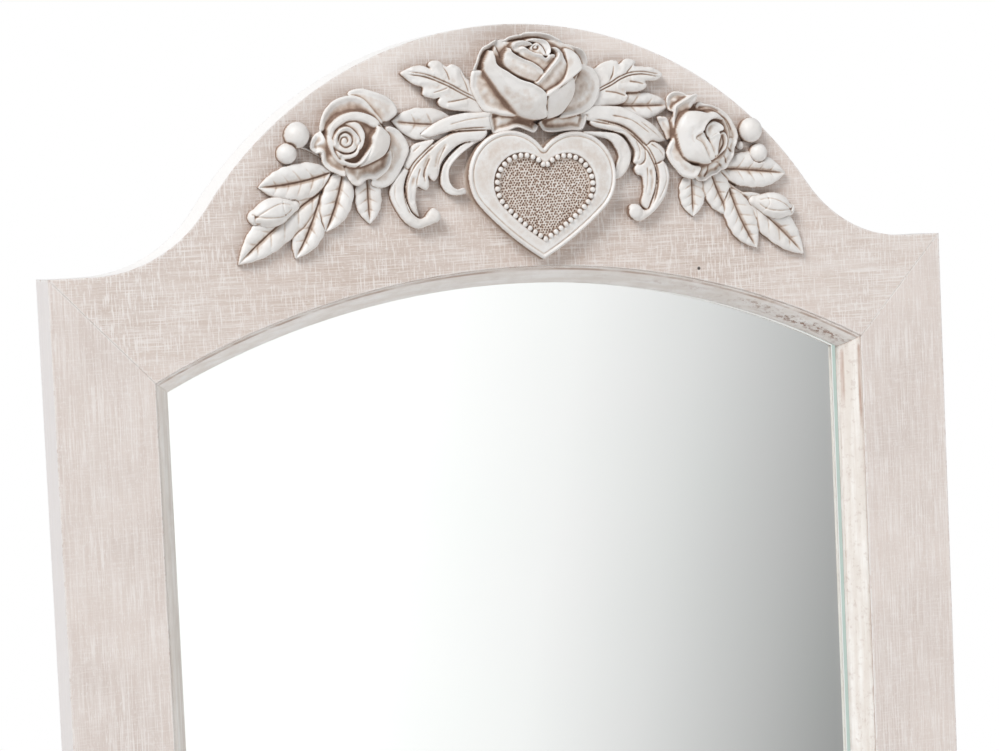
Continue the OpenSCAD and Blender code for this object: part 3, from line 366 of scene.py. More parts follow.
def glass_glow(name, tone):
    """A painted glow for the light caught in the glass's edge, the same from all sides: it shines though it
    is no lamp.
    """
    t = Surface(name)
    light = t.mix(t.ramp(t.noise((40, 40, 40)), 0.3, 0.7), (*tone, 1), (*[c * 1.06 for c in tone], 1))
    # painted light: the band's own emission
    glow = {"Emission Color": light, "Emission Strength": 1.0}
    t.set(t.mix(0.95, light, (0, 0, 0, 1)), 0.6, glow)
    return t.material


def dress(material, *nodes):
    """Gives CAD nodes a material."""
    for node in nodes:
        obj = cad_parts[node]
        if not obj.material_slots:
            obj.data.materials.append(material)
        for held in obj.material_slots:
            held.material = material


dress(washed_wood("washed_pine_upright", "Z"), "left_stile", "right_stile", "left_post", "right_post",
      "left_finial", "right_finial")
dress(washed_wood("washed_pine_rail", "X", 0.8, (209, 194, 185), (222, 209, 201), True), "top_rail")
dress(washed_wood("washed_pine_level", "X"), "bottom_rail", "stretcher", "left_spacer", "right_spacer")
dress(washed_wood("washed_pine_foot", "Y"), "left_foot", "right_foot")
dress(worn_paint("moulding_upright", "Z", 0.2, (230, 223, 216), (246, 243, 239), SCRATCHES),
      "left_moulding", "right_moulding")
# painted light: the level mouldings take a lighter copy of the paint, to brighten the down-facing arch
LEVEL_TONES_WITH_PAINTED_LIGHT = (240, 234, 229), (252, 249, 247)
dress(worn_paint("moulding_arched_painted_light", "X", 0.9, *LEVEL_TONES_WITH_PAINTED_LIGHT, arched=True), "top_moulding")
dress(worn_paint("moulding_level_painted_light", "X", 0.9, *LEVEL_TONES_WITH_PAINTED_LIGHT), "bottom_moulding")
dress(metal("zinc_plated_steel", (188, 188, 190), 0.3), "backing_clips", "clip_screws", "corner_braces",
      "brace_screws", "left_pivot_plate", "right_pivot_plate", "pivot_screws", "foot_bolts",
      "stretcher_bolts", "barrel_nuts", "left_stud", "right_stud")
dress(metal("aged_brass", (196, 160, 96), 0.24, (70, 46, 20)), "left_bush", "right_bush", "left_washer",
      "right_washer", "left_knob", "right_knob")
dress(hardboard("hardboard"), "backing_board")
dress(felt("felt"), "glides")
dress(hazy("float_glass", 8, (252, 255, 253), (254, 255, 254), 0.0, 0.003,
           {"Transmission Weight": 1.0, "IOR": 1.5}), "mirror_glass")
dress(cast_white("cast_beads", sculpted=False), "heart_beads")
silvering = hazy("silvering", 6, (252, 252, 252), (254, 254, 254), 0.0, 0.004, {"Metallic": 1.0})
ornament = cast_white("cast_ornament")


# ------------------------------------------------------------------ outlines and curves
def smooth(points, steps, closed):
    """A Catmull-Rom curve through rows of numbers."""
    p = np.array(points, float)
    count = len(p)
    t = (np.arange(steps) / steps)[:, None]
    out = []
    for i in range(count if closed else count - 1):
        at = [(i + k) % count if closed else min(max(i + k, 0), count - 1) for k in (-1, 0, 1, 2)]
        a, b, c, d = p[at]
        square, cube = 2 * a - 5 * b + 4 * c - d, 3 * b - a - 3 * c + d
        out.append(0.5 * (2 * b + (c - a) * t + square * t**2 + cube * t**3))
    if not closed:
        out.append(p[-1:])
    return np.concatenate(out)


def near_path(X, Z, path):
    """Distance from each place to a path, and the share of the path's length there."""
    best = np.full(X.shape, 1e9)
    share = np.zeros(X.shape)
    lengths = np.hypot(*(path[1:, :2] - path[:-1, :2]).T)
    starts = np.concatenate([[0], np.cumsum(lengths)])
    for i in range(len(path) - 1):
        a, d = path[i, :2], path[i + 1, :2] - path[i, :2]
        u = np.clip(((X - a[0]) * d[0] + (Z - a[1]) * d[1]) / max(d @ d, 1e-9), 0, 1)
        gap = np.hypot(X - a[0] - u * d[0], Z - a[1] - u * d[1])
        closer = gap < best
        best[closer] = gap[closer]
        share[closer] = ((starts[i] + u * lengths[i]) / starts[-1])[closer]
    return best, share


def inside_of(X, Z, path):
    """Distance to a closed outline, positive inside it."""
    gap, _ = near_path(X, Z, np.concatenate([path, path[:1]]))
    odd = np.zeros(X.shape, bool)
    for (ax, az), (bx, bz) in zip(path[:, :2], np.roll(path[:, :2], -1, 0)):
        if az != bz:
            odd ^= ((az > Z) != (bz > Z)) & (X < ax + (bx - ax) * (Z - az) / (bz - az))
    return np.where(odd, gap, -gap)


def bell(value, middle, wide):
    return np.exp(-(((value - middle) / wide) ** 2))


def blur(grid, sigma):
    """Gaussian blur by the FFT, with the edges padded."""
    pad = int(3 * sigma) + 2
    g = np.pad(grid, pad, mode="edge")
    fz, fx = np.fft.fftfreq(g.shape[0])[:, None], np.fft.rfftfreq(g.shape[1])[None]
    g = np.fft.irfft2(np.fft.rfft2(g) * np.exp(-2 * (math.pi * sigma) ** 2 * (fz**2 + fx**2)), g.shape)
    return g[pad:-pad, pad:-pad]


# ------------------------------------------------------------------ relief
STEP = 0.32  # mm between the relief's points


def fitted(control, X, Z):
    """A gently curved height through control points, by ridge regression."""
    middle = control[:, :2].mean(0)
    size = np.ptp(control[:, :2], 0).max() / 2

    def terms(x, z):
        x, z = (x - middle[0]) / size, (z - middle[1]) / size
        return np.stack([np.ones_like(x), x, z, x * x, x * z, z * z], -1)

    rows = terms(control[:, 0], control[:, 1])
    ridge = np.diag([0, 0.02, 0.02, 0.3, 0.3, 0.3])
    found = np.linalg.solve(rows.T @ rows + ridge, rows.T @ control[:, 2])
    return np.clip(terms(X, Z) @ found, control[:, 2].min() - 0.5, control[:, 2].max() + 0.5)


def rounding(inside, radius):
    """How far a rounded edge falls below the surface."""
    return radius * (1 - np.sqrt(np.clip(1 - (1 - np.clip(inside / radius, 0, 1)) ** 2, 0, 1)))


class Relief:
    """A sculpted relief on the rail's face. Heights in mm; places are x from the ornament's
    middle and z above the shoulders."""

    def __init__(self, x0, z0, x1, z1, step=STEP):
        self.step = step
        self.X, self.Z = np.meshgrid(np.arange(x0, x1, step), np.arange(z0, z1, step))
        self.h = np.zeros(self.X.shape)
        self.inside = np.full(self.X.shape, -99.0)
        self.tint = np.zeros(self.X.shape)

    def window(self, path, margin=3):
        """The part of the grid around a path."""
        span = []
        for values, start in ((path[:, 1], self.Z[0, 0]), (path[:, 0], self.X[0, 0])):
            low, high = values.min() - margin - start, values.max() + margin - start
            span.append(slice(max(int(low / self.step), 0), max(int(high / self.step) + 1, 0)))
        return tuple(span)

    def lay(self, at, inside, height, tint=0.0):
        """Lays a shape over what is there: painter's order."""
        old = self.inside[at]
        cover = np.clip(inside / self.step + 0.5, 0, 1)
        fresh = (old < 0) & (inside > -2 * self.step) & (inside > old)
        cover = np.where(fresh, 1.0, cover)
        self.h[at] += (height - self.h[at]) * cover
        self.tint[at] += (tint - self.tint[at]) * cover
        self.inside[at] = np.maximum(old, inside)

    def petal(self, points, lip=None, roll=0.6, wide=1.5, hollow=0.5, bulge=0.0, edge=1.0, tint=0.0,
              shade=0.3, wave=0.0):
        """A petal through points of x, z and height. Its free lip runs over a range of them:
        a rolled rim with a hollow behind it. Away from the lip the wash is darker by shade."""
        control = np.array(points, float)
        path = smooth(control[:, :2], 8, True)
        at = self.window(path)
        X, Z = self.X[at], self.Z[at]
        inside = inside_of(X, Z, path)
        deep = np.clip(inside, 0, None)
        height = fitted(control, X, Z) + bulge * (1 - np.exp(-deep / 4))
        if lip:
            ring = np.concatenate([path, path[: 1 + 8 * max(0, lip[1] - len(control) + 1)]])
            gap, share = near_path(X, Z, ring[8 * lip[0] : 8 * lip[1] + 1])
            fade = np.clip(np.minimum(share, 1 - share) * 8, 0, 1)
            height = height + roll * bell(gap, 0.6 * wide, 0.75 * wide) * (0.4 + 0.6 * fade)
            height = height - hollow * bell(gap, 2.7 * wide, 1.4 * wide)
            height = height + wave * np.sin(share * 19) * np.exp(-gap / 3)
            tint = tint + shade * np.clip((gap - 1.6 * wide) / 6, 0, 1)
        self.lay(at, inside, height - rounding(deep, edge), tint)

    def leaf(self, base, tip, width, bend=0.0, low=1.5, high=4.5, veins=5, fold=0.0):
        """A leaf with a midrib, side veins and puffed halves."""
        a, b = np.array(base, float), np.array(tip, float)
        long = np.hypot(*(b - a))
        along = (b - a) / long
        half_width = np.array([width / 2, width / 2])
        at = self.window(np.array([a - half_width, a + half_width, b - half_width, b + half_width]))
        X, Z = self.X[at], self.Z[at]
        u = ((X - a[0]) * along[0] + (Z - a[1]) * along[1]) / long
        v = (X - a[0]) * -along[1] + (Z - a[1]) * along[0] - 4 * bend * u * (1 - u)
        uc = np.clip(u, 0, 1)
        phase = ((uc - 0.3 * np.abs(v) / width) * veins) % 1.0
        spread = 1 - np.abs(2 * uc**0.92 - 1) ** 2.6
        half = width / 2 * spread * (1 + 0.02 * np.cos(2 * math.pi * phase)) + 0.02
        tc = np.clip(np.abs(v) / half, 0, 1)
        inside = (1 - np.abs(v) / half) * half * 0.85
        inside = np.minimum(inside, np.minimum(u, 1 - u) * long + 0.15)
        puff = np.sin(math.pi * (0.1 + 0.72 * tc)) - 0.31
        rise = np.sin(math.pi * (0.12 + 0.76 * uc)) ** 0.7
        height = low + (high - low) * rise * (0.4 + 0.85 * puff) + fold * v / width
        height = height + 0.17 * np.cos(2 * math.pi * phase) * np.clip(3 * tc, 0, 1) * (1 - tc**3)
        crease = bell(phase, 0.5, 0.06) * np.clip(tc * 5, 0, 1) * np.clip((0.85 - tc) * 4, 0, 1)
        crease = crease * np.clip(uc * 6, 0, 1) * np.clip((0.93 - uc) * 8, 0, 1)
        groove = bell(v, 0, 0.3) + 0.45 * bell(v, 1.05, 0.25)
        groove = groove * np.clip((0.9 - uc) * 8, 0, 1)
        height = height - 0.28 * crease - 0.6 * groove
        height = height - rounding(np.clip(inside, 0, None), 0.8)
        tint = 0.03 + 0.2 * groove + 0.16 * crease + 0.5 * np.clip(0.3 - uc, 0, 1) + 0.1 * (1 - tc)
        self.lay(at, inside, height, tint)

    def ribbon(self, points, power=0.55, tint=0.0):
        """A tapering stem through rows of x, z, half width and height."""
        path = smooth(points, 10, False)
        at = self.window(path, 10)
        gap, share = near_path(self.X[at], self.Z[at], path)
        runs = np.concatenate([[0], np.cumsum(np.hypot(*np.diff(path[:, :2], axis=0).T))])
        half = np.interp(share, runs / runs[-1], path[:, 2])
        tall = np.interp(share, runs / runs[-1], path[:, 3])
        round_ = np.clip(1 - np.clip(gap / half, 0, 1) ** 2, 0, 1) ** power
        self.lay(at, half - gap, tall * (0.35 + 0.65 * round_), tint)

    def grooves(self, depth, wide, tint, *paths, apart=0.0):
        """Cut lines, or pairs of them beside a ridge when apart is given."""
        for points in paths:
            path = smooth(points, 10, False)
            at = self.window(path, 5)
            gap, share = near_path(self.X[at], self.Z[at], path)
            fade = np.clip(np.minimum(share, 1 - share) * 12, 0, 1)
            cut = bell(gap, apart, wide) * fade
            self.h[at] -= depth * cut
            if apart:
                self.h[at] += 0.45 * depth * bell(gap, 0, 0.7 * apart) * fade
            self.tint[at] = np.maximum(self.tint[at], tint * cut)

    def ball(self, x, z, r, lift=0.4, tall=1.0):
        at = self.window(np.array([(x - r, z - r), (x + r, z + r)]))
        gap = np.hypot(self.X[at] - x, self.Z[at] - z)
        self.lay(at, r - gap, r * lift + tall * np.sqrt(np.clip(r * r - gap**2, 0, None)))

    def at_points_of(self, other):
        """This relief's inside distance and height at another's points."""
        i = np.round((other.Z - self.Z[0, 0]) / self.step).astype(int)
        j = np.round((other.X - self.X[0, 0]) / self.step).astype(int)
        ok = (i >= 0) & (i < self.Z.shape[0]) & (j >= 0) & (j < self.Z.shape[1])
        inside, height = np.full(other.X.shape, -99.0), np.zeros(other.X.shape)
        inside[ok], height[ok] = self.inside[i[ok], j[ok]], self.h[i[ok], j[ok]]
        return inside, height

    def roughen(self, dice, uneven):
        """Adds the small lumps of a cast surface."""
        for wide, deep in ((0.9, 0.07), (2.5, 0.14)):
            lumps = blur(dice.normal(size=self.h.shape), wide / self.step)
            self.h = self.h + uneven * deep * lumps / lumps.std()

    def tuck_under(self, over):
        """Ends the relief a little way under the pieces in over, and tells how far inside it
        each point then is."""
        inside = self.inside.copy()
        for other in over:
            cover, top = other.at_points_of(self)
            self.h = np.where(cover > 0, np.minimum(self.h, top - 0.5), self.h)
            inside = np.minimum(inside, 1.5 - cover)
        keep = inside > 0
        solid = keep.astype(float)
        self.h = np.where(keep, blur(self.h * solid, 0.65) / np.maximum(blur(solid, 0.65), 1e-3), self.h)
        return inside

    def wash(self, keep, h):
        """How much brown wash lies at each point: most in hollows and on steep sides."""
        full = np.where(keep, h, 0)
        near, mid, far = (blur(full, s / self.step) - full for s in (0.5, 1.4, 4.0))
        wash = 1.3 * np.clip(near, -0.08, 1) + 0.6 * np.clip(mid, -0.3, 1.2)
        wash = wash + 0.17 * np.clip(far, -2, 2) + 0.14
        slope_z, slope_x = np.gradient(full, self.step)
        wash = wash + 0.1 * np.clip(np.hypot(slope_x, slope_z) - 1.0, 0, 1.6) + self.tint
        return np.clip(blur(wash, 0.5), 0, 1)

    def mesh(self, name, replaced, over=(), under=0.15, uneven=1.0):
        """Makes the piece's mesh, with sides that run in by under times their height."""
        step = self.step
        self.roughen(np.random.default_rng(len(name)), uneven)
        inside = self.tuck_under(over)
        keep = inside > 0
        h = np.clip(self.h, 0.25, None)
        wash = self.wash(keep, h)
        # the top: one face per grid cell, its outer points drawn onto the outline
        cells = keep[:-1, :-1] | keep[1:, :-1] | keep[:-1, 1:] | keep[1:, 1:]
        used = np.zeros(keep.shape, bool)
        for dz in (0, 1):
            for dx in (0, 1):
                used[dz : dz + cells.shape[0], dx : dx + cells.shape[1]] |= cells
        gz, gx = np.gradient(blur(inside, 1.0), step)
        size = np.maximum(np.hypot(gx, gz), 0.3)
        push = np.where(keep, 0, np.clip(-inside, 0, 1.5 * step))
        x = self.X + gx / size * push
        z = self.Z + gz / size * push
        number = np.full(keep.shape, -1)
        number[used] = np.arange(used.sum())
        top = np.stack([x[used], z[used], h[used]], 1)
        inward = np.stack([(gx / size)[used], (gz / size)[used]], 1)
        corners = [number[:-1, :-1], number[:-1, 1:], number[1:, 1:], number[1:, :-1]]
        quads = np.stack(corners, -1)[cells]
        # the sides: from each edge that only one face has, down to the rail
        edges = np.concatenate([quads[:, [k, (k + 1) % 4]] for k in range(4)])
        pair = np.sort(edges, 1)
        key = pair[:, 0] * len(top) + pair[:, 1]
        _, first, times = np.unique(key, return_index=True, return_counts=True)
        rim = edges[first[times == 1]]
        ends, back = np.unique(rim, return_inverse=True)
        back = back.reshape(rim.shape)
        foot = top[ends].copy()
        foot[:, :2] += inward[ends] * np.clip(under * foot[:, 2:], 0, 3.5)
        foot[:, 2] = 0.0
        count = len(top)
        walls = np.stack([rim[:, 1], rim[:, 0], back[:, 0] + count, back[:, 1] + count], 1)
        flat = np.concatenate([top, foot])
        tone = np.concatenate([wash[used], np.full(len(foot), 0.75 if under else 0.25)])
        places = [flat[:, 0] + MIDDLE_X, FACE_Y - flat[:, 2], flat[:, 1] + SHOULDER_Z]
        data = bpy.data.meshes.new(name)
        data.from_pydata((np.stack(places, 1) * MM).tolist(), [], np.concatenate([quads, walls]).tolist())
        data.attributes.new("wash", "FLOAT", "POINT").data.foreach_set("value", tone.astype(np.float32))
        data.polygons.foreach_set("use_smooth", np.ones(len(data.polygons), bool))
        obj = placed(name, data, ornament)
        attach(obj, BODY)
        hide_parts(replaced)


def placed(name, data, material):
    """Puts a mesh into the scene as an object."""
    data.materials.append(material)
    obj = bpy.data.objects.new(name, data)
    scene.collection.objects.link(obj)
    return obj


# ------------------------------------------------------------------ heart
FIELD, BED, RING = 0.7, 0.61, 0.655  # outlines in the heart, as shares of the plaque's
DOT_ACROSS, DOT_UP = 1.5, 1.3  # mm between the field's dots


def heart_outline(scale):
    """The plaque's outline, from the same sizes as the frame's."""
    w = HEART_W
    lobe_r, lobe_z, mid = 0.28 * w, 0.517 * w, 0.36 * w
    lobe_x = w / 2 - lobe_r
    s = math.sqrt(0.5)
    k = (lobe_x**2 + lobe_z**2 - lobe_r**2) / (2 * (lobe_r + (lobe_x - lobe_z) * s))
    side_x, side_z = lobe_x - k * s, lobe_z + k * s
    first, last = math.acos(-lobe_x / lobe_r), math.atan2(-side_z, -side_x)

    def arc(x, z, r, angles):
        return [(x + r * math.cos(a), z + r * math.sin(a)) for a in angles]

    lobe = arc(lobe_x, lobe_z, lobe_r, np.linspace(first, -math.pi / 4, 26))
    half = np.array(lobe + arc(side_x, side_z, k + lobe_r, np.linspace(-math.pi / 4, last, 9)[1:]))
    both = (np.concatenate([half, half[-2:0:-1] * [-1, 1]]) - [0, mid]) * scale
    c, s = math.cos(HEART_LEAN), math.sin(HEART_LEAN)
    x = HEART_X + both[:, 0] * c + both[:, 1] * s
    z = heart_low[2] - SHOULDER_Z + mid * c + both[:, 1] * c - both[:, 0] * s
    return np.stack([x, z], 1)


heart_top = heart_high[1] - heart_low[1]
heart = Relief(-41, -6, 51, 70, 0.25)
# the relief is a touch larger than the solid, and further left
inside = inside_of(heart.X, heart.Z, heart_outline(1.01) - [0.8, 0])
deep = np.clip(inside, 0, None)
plate = heart_top - 0.9 - rounding(deep, 1.3)
plate += 0.5 * bell(deep, 1.2, 0.6) - 0.4 * bell(deep, 2.5, 0.4) + 0.5 * np.clip((deep - 4.5) / 6, 0, 1)
in_field = inside_of(heart.X, heart.Z, heart_outline(FIELD))
plate = plate + (heart_top - 1.4 - plate) * np.clip(in_field / 0.5, 0, 1)
heart.lay(np.s_[:, :], inside, plate, 0.14 + 0.3 * bell(deep, 2.5, 0.5))

dice = np.random.default_rng(7)
stipple = np.zeros(heart.X.shape)
dots = [(HEART_X + DOT_ACROSS * (i + k % 2 / 2), 6 + DOT_UP * k) for i in range(-19, 19) for k in range(37)]
dots = np.array(dots) + dice.uniform(-0.3, 0.3, (len(dots), 2))
for x, z in dots:
    at = heart.window(np.array([(x, z)]), 1.2)
    gap = np.hypot(heart.X[at] - x, heart.Z[at] - z)
    stipple[at] = np.maximum(stipple[at], np.exp(-((gap / dice.uniform(0.36, 0.46)) ** 4)))
bed = np.clip(inside_of(heart.X, heart.Z, heart_outline(BED)) / 0.4, 0, 1)
heart.h -= 0.7 * stipple * bed
heart.tint += 1.2 * stipple * bed + 0.1 * bed
from_ring = np.abs(inside_of(heart.X, heart.Z, heart_outline(RING)))
heart.tint += 0.7 * np.exp(-((from_ring / 1.5) ** 4)) * (heart.inside > 0)


# ------------------------------------------------------------------ centre rose
# Most outlines from here to the berries are points picked by eye on the photograph. A separate script
# turned them into millimetres with the fitted camera, to the nearest 0.5 mm. Their heights are chosen.
rose = Relief(-44, 56, 48, 122)
rose.petal(  # under the cup, left
    [(-24, 72.5, 5), (-23.5, 67, 4.5), (-21.5, 62.5, 4.5), (-17.5, 63, 4.5), (-13, 64, 4.5), (-8.5, 65.5, 5),
     (-4, 64, 5), (0.5, 62.5, 5), (3, 65, 5), (1.5, 68.5, 5.5), (-8.5, 72, 6), (-16.5, 74, 6)],
    (0, 8), roll=0.9, wide=1.2, hollow=1.6, wave=0.3)
rose.petal(  # under the cup, right
    [(31, 71, 5), (30.5, 67.5, 4.5), (28, 63, 4.5), (21.5, 63, 4.5), (13, 62.5, 4.5), (7, 63, 5),
     (4.5, 65.5, 5), (3.5, 68, 5.5), (8, 70, 6), (16.5, 70.5, 6), (25.5, 71, 6)],
    (0, 7), roll=0.9, wide=1.2, hollow=1.6, wave=0.3)
rose.petal(  # behind, left
    [(-32.5, 95, 8), (-31.5, 100, 9), (-29, 106, 10), (-25, 108.5, 11), (-21, 110.5, 11),
     (-16.5, 110.5, 10.5), (-13.5, 112, 11), (-7, 113, 12), (-3.5, 112, 12), (-5, 106.5, 9),
     (-12.5, 103.5, 8), (-18.5, 97, 8), (-25.5, 94, 7)],
    (0, 8), roll=0.9, wide=1.3, hollow=1.8, wave=0.3)
rose.petal(  # behind, right
    [(-7, 113, 12), (-0.5, 114, 13), (7, 113, 13), (13, 110.5, 13), (16.5, 108, 12.5), (20.5, 107, 12),
     (28, 104, 11), (31, 97, 9), (22.5, 98, 9), (10.5, 102.5, 10), (-0.5, 106.5, 10)],
    (0, 7), roll=0.9, wide=1.2, hollow=1.6)
rose.petal(  # the outer petal, left
    [(-7.5, 72, 7), (-15, 71.5, 6.5), (-21.5, 73, 6), (-27, 74.5, 5.5), (-31, 80, 5), (-33.5, 85.5, 5),
     (-34, 90.5, 6), (-33, 95, 7), (-30, 95.5, 8), (-26, 94.5, 9), (-22, 88.5, 9), (-16.5, 81, 8.5)],
    (0, 8), roll=0.7, wide=1.6, hollow=0.8, bulge=0.8)
rose.petal(  # the outer petal, right
    [(15, 70, 7), (25, 71, 6.5), (32, 73.5, 6), (36, 77.5, 6), (38.5, 83.5, 6), (38.5, 89.5, 6.5),
     (34.5, 95, 7.5), (27.5, 97, 9), (24, 92.5, 9), (22.5, 84, 9), (19.5, 77, 8)],
    (0, 7), roll=0.7, wide=1.6, hollow=0.8, bulge=0.8)
rose.petal(  # the floor of the cup
    [(-22.5, 105.5, 11), (-9.5, 109.5, 12), (10, 109.5, 12), (22.5, 104, 12), (23.5, 90, 12), (6, 73, 12),
     (-19, 84, 11)],
    edge=0.6, tint=0.55)
rose.petal(  # a tuck on the left
    [(-20.5, 110, 9.5), (-17.5, 110, 10.5), (-16, 107, 11), (-15.5, 103, 11), (-17.5, 98, 10),
     (-19.5, 103, 9.5), (-21, 107, 9)],
    roll=0.4, edge=0.8)
rose.petal(  # the ring around the bud, right
    [(-5.5, 109.5, 16), (-1, 110.5, 16.5), (4.5, 109.5, 17), (7, 106.5, 17.2), (7, 103, 17.3),
     (4.5, 101, 17.5), (4, 102.5, 17), (3, 106, 16), (-0.5, 108, 15.5)],
    (0, 5), roll=0.5, wide=0.9, hollow=0.8, edge=0.7)
rose.petal(  # the ring around the bud, left
    [(-13.5, 107.5, 16), (-11.5, 109, 16.5), (-7, 109.5, 17), (-2.5, 107.5, 16.5), (-6, 106, 16),
     (-9, 106, 15.5), (-10, 103, 15), (-13, 104.5, 15)],
    (0, 3), roll=0.5, wide=0.9, hollow=0.8, edge=0.7)
rose.petal(  # the bud
    [(-4, 106, 16), (-1, 108, 16.5), (2, 106.5, 17), (4, 102.5, 17.3), (4, 101, 17.5), (-0.5, 102.5, 17),
     (-4, 104, 16.5)],
    (0, 4), roll=0.4, wide=0.8, hollow=0.5, edge=0.6)
rose.grooves(1.0, 0.35, 0.6, [(-1, 107), (-2.6, 106), (-2, 104.8), (-0.5, 104.8), (0.2, 106), (-0.8, 106.4)])
rose.petal(  # the inner petal, shaped like a V
    [(-9.5, 106, 16.5), (-7, 106, 17), (-3, 103.5, 17.5), (1.5, 102, 18), (4, 100.5, 18.3), (6, 102, 18),
     (9.5, 102, 16.5), (9, 99, 16), (5, 95.5, 16.5), (2, 93.5, 17), (-3.5, 98, 16), (-8, 100.5, 15.5),
     (-10.5, 103.5, 15.5)],
    (0, 6), roll=0.7, wide=1.0, hollow=0.5, bulge=0.3)
rose.petal(  # the middle petal, right
    [(-3, 88, 17.5), (1, 91.5, 18), (5, 95.5, 18.5), (8.5, 99, 18.5), (10.5, 102, 18), (9, 104.5, 17.5),
     (8, 105.5, 17), (11, 105.5, 17), (14, 103, 16.5), (15, 100.5, 16.5), (17, 94.5, 14.5), (14, 88, 15),
     (4, 83, 16.5)],
    (0, 6), roll=1.0, wide=1.3, hollow=0.6, bulge=0.2)
rose.petal(  # the middle petal, left
    [(-16.5, 104.5, 16.5), (-15.5, 106, 17), (-14, 103.5, 17.5), (-9, 100.5, 18), (-3.5, 98, 18.5),
     (2, 93.5, 18.5), (0.5, 90.5, 17.5), (-2.5, 88, 16.5), (-9.5, 90.5, 15.5), (-15.5, 94, 14.5),
     (-18.5, 98, 14), (-18, 102, 15.5)],
    (0, 5), roll=0.8, wide=1.0, hollow=0.3, bulge=0.4)
rose.petal(  # the face of the right petal
    [(4, 80.5, 18.5), (12, 85.5, 17.5), (20, 90, 15.5), (21.5, 83.5, 13), (19.5, 78, 12), (15, 72, 10),
     (8, 69.5, 10), (5.5, 71, 12)],
    bulge=1.2, edge=1.2)
rose.petal(  # its turned lip
    [(3.5, 83, 18), (12.5, 88, 17.5), (16, 94.5, 16), (16, 101, 15), (16, 105, 14.5), (20.5, 104, 15),
     (24.5, 100, 15), (25.5, 95, 15), (24, 93, 15.5), (19.5, 90, 16.5), (12, 85.5, 18), (4, 80.5, 19)],
    (7, 11), roll=0.4, wide=1.2, hollow=0.0, bulge=0.5, edge=1.2)
rose.petal(  # the front petal
    [(-28, 98, 13), (-27, 101.5, 14), (-25, 105, 15), (-23.5, 102, 16), (-22, 97.5, 17), (-17, 94, 18),
     (-11, 90, 18.8), (-4.5, 87.5, 19.3), (1.5, 83.5, 19.7), (3.5, 80, 19.5), (4, 75.5, 17), (5, 70.5, 13),
     (0.5, 69, 11.5), (-6, 70, 10.5), (-10.5, 72.5, 10), (-15, 77.5, 10), (-20, 83, 10), (-24.5, 89.5, 10.5),
     (-27.5, 94.5, 12)],
    (0, 9), roll=0.7, wide=1.4, hollow=0.2, bulge=2.0, edge=1.6)

# ------------------------------------------------------------------ left rose
left_rose = Relief(-126, 34, -64, 92)
left_rose.petal(  # the ground between the petals
    [(-117, 60, 4), (-113, 50, 4), (-104, 47, 4), (-90, 46, 4), (-81, 53, 4), (-80, 66, 4), (-88, 78, 4),
     (-100, 82, 4), (-112, 76, 4)],
    tint=0.5)
left_rose.petal(  # behind
    [(-100, 85, 4), (-93.5, 88, 4.5), (-87, 86.5, 5), (-79, 83.5, 5), (-74.5, 79, 4.5), (-74, 74.5, 4),
     (-81.5, 70.5, 6), (-89.5, 74.5, 7)],
    (0, 5), roll=0.5, hollow=0.4, bulge=0.4)
left_rose.petal(  # top
    [(-116, 67, 5), (-115, 74, 5.5), (-111.5, 79.5, 6), (-106.5, 83, 6.5), (-99, 84.5, 6.5),
     (-92.5, 82.5, 6.5), (-87.5, 77, 7), (-82.5, 70, 7), (-88.5, 71, 7.5), (-96.5, 75, 7), (-104.5, 74, 7),
     (-110.5, 69, 7)],
    (0, 7), roll=0.45, hollow=1.0, wide=1.8)
left_rose.petal(  # left
    [(-120, 64, 5.5), (-121.5, 59, 5), (-118.5, 56, 5.5), (-116, 56, 6), (-115.5, 51.5, 5.5),
     (-112.5, 47.5, 5.5), (-109.5, 46, 6), (-104, 44, 6.5), (-104.5, 49.5, 8), (-109.5, 56.5, 8),
     (-113, 62.5, 7), (-115.5, 67, 6)],
    (0, 7), roll=0.7, hollow=1.4, wide=1.2, wave=0.4)
left_rose.petal(  # right
    [(-81.5, 67.5, 7), (-76, 67.5, 6.5), (-71.5, 63.5, 6), (-68.5, 57, 5.5), (-70.5, 51.5, 5), (-74, 45, 4.5),
     (-78.5, 39.5, 4.5), (-83.5, 37.5, 4.5), (-89.5, 39, 4.5), (-88.5, 43, 6), (-83, 49, 7),
     (-80.5, 56.5, 8)],
    (0, 8), roll=0.5, hollow=0.8, wide=1.9)
left_rose.petal(  # under the cup
    [(-101, 41, 6), (-96.5, 39, 5.5), (-92, 42, 5.5), (-87, 42, 5.5), (-81, 46, 5.5), (-78.5, 51.5, 6),
     (-79.5, 56.5, 7), (-86.5, 52, 8), (-96.5, 48.5, 8), (-104, 49, 7)],
    (0, 6), roll=0.6, hollow=1.3, wide=1.6, wave=0.3)
left_rose.petal(  # the cup
    [(-112, 64, 8), (-112, 68.5, 9), (-108, 73, 10), (-103, 75.5, 10.5), (-96.5, 76, 10.5), (-90, 74, 10.5),
     (-85, 70, 10), (-81, 64.5, 9.5), (-80.5, 59.5, 9), (-83, 54, 8.5), (-90, 50.5, 8.5), (-97.5, 48.5, 8.5),
     (-103.5, 49, 8), (-108.5, 53.5, 8), (-111.5, 59, 7.5)],
    edge=1.4, tint=0.35)
left_rose.petal(  # the cup's upper band
    [(-112.5, 64, 9), (-112.5, 68.5, 10), (-108.5, 73, 11), (-103, 75.5, 11.5), (-97, 76, 12), (-90, 74, 12),
     (-86, 70.5, 12), (-88.5, 67.5, 11.5), (-93.5, 70, 11), (-98.5, 71.5, 10.8), (-103.5, 71, 10.5),
     (-108.5, 67.5, 10), (-110.5, 63, 9.5)],
    roll=0.2, bulge=0.6, edge=1.3)
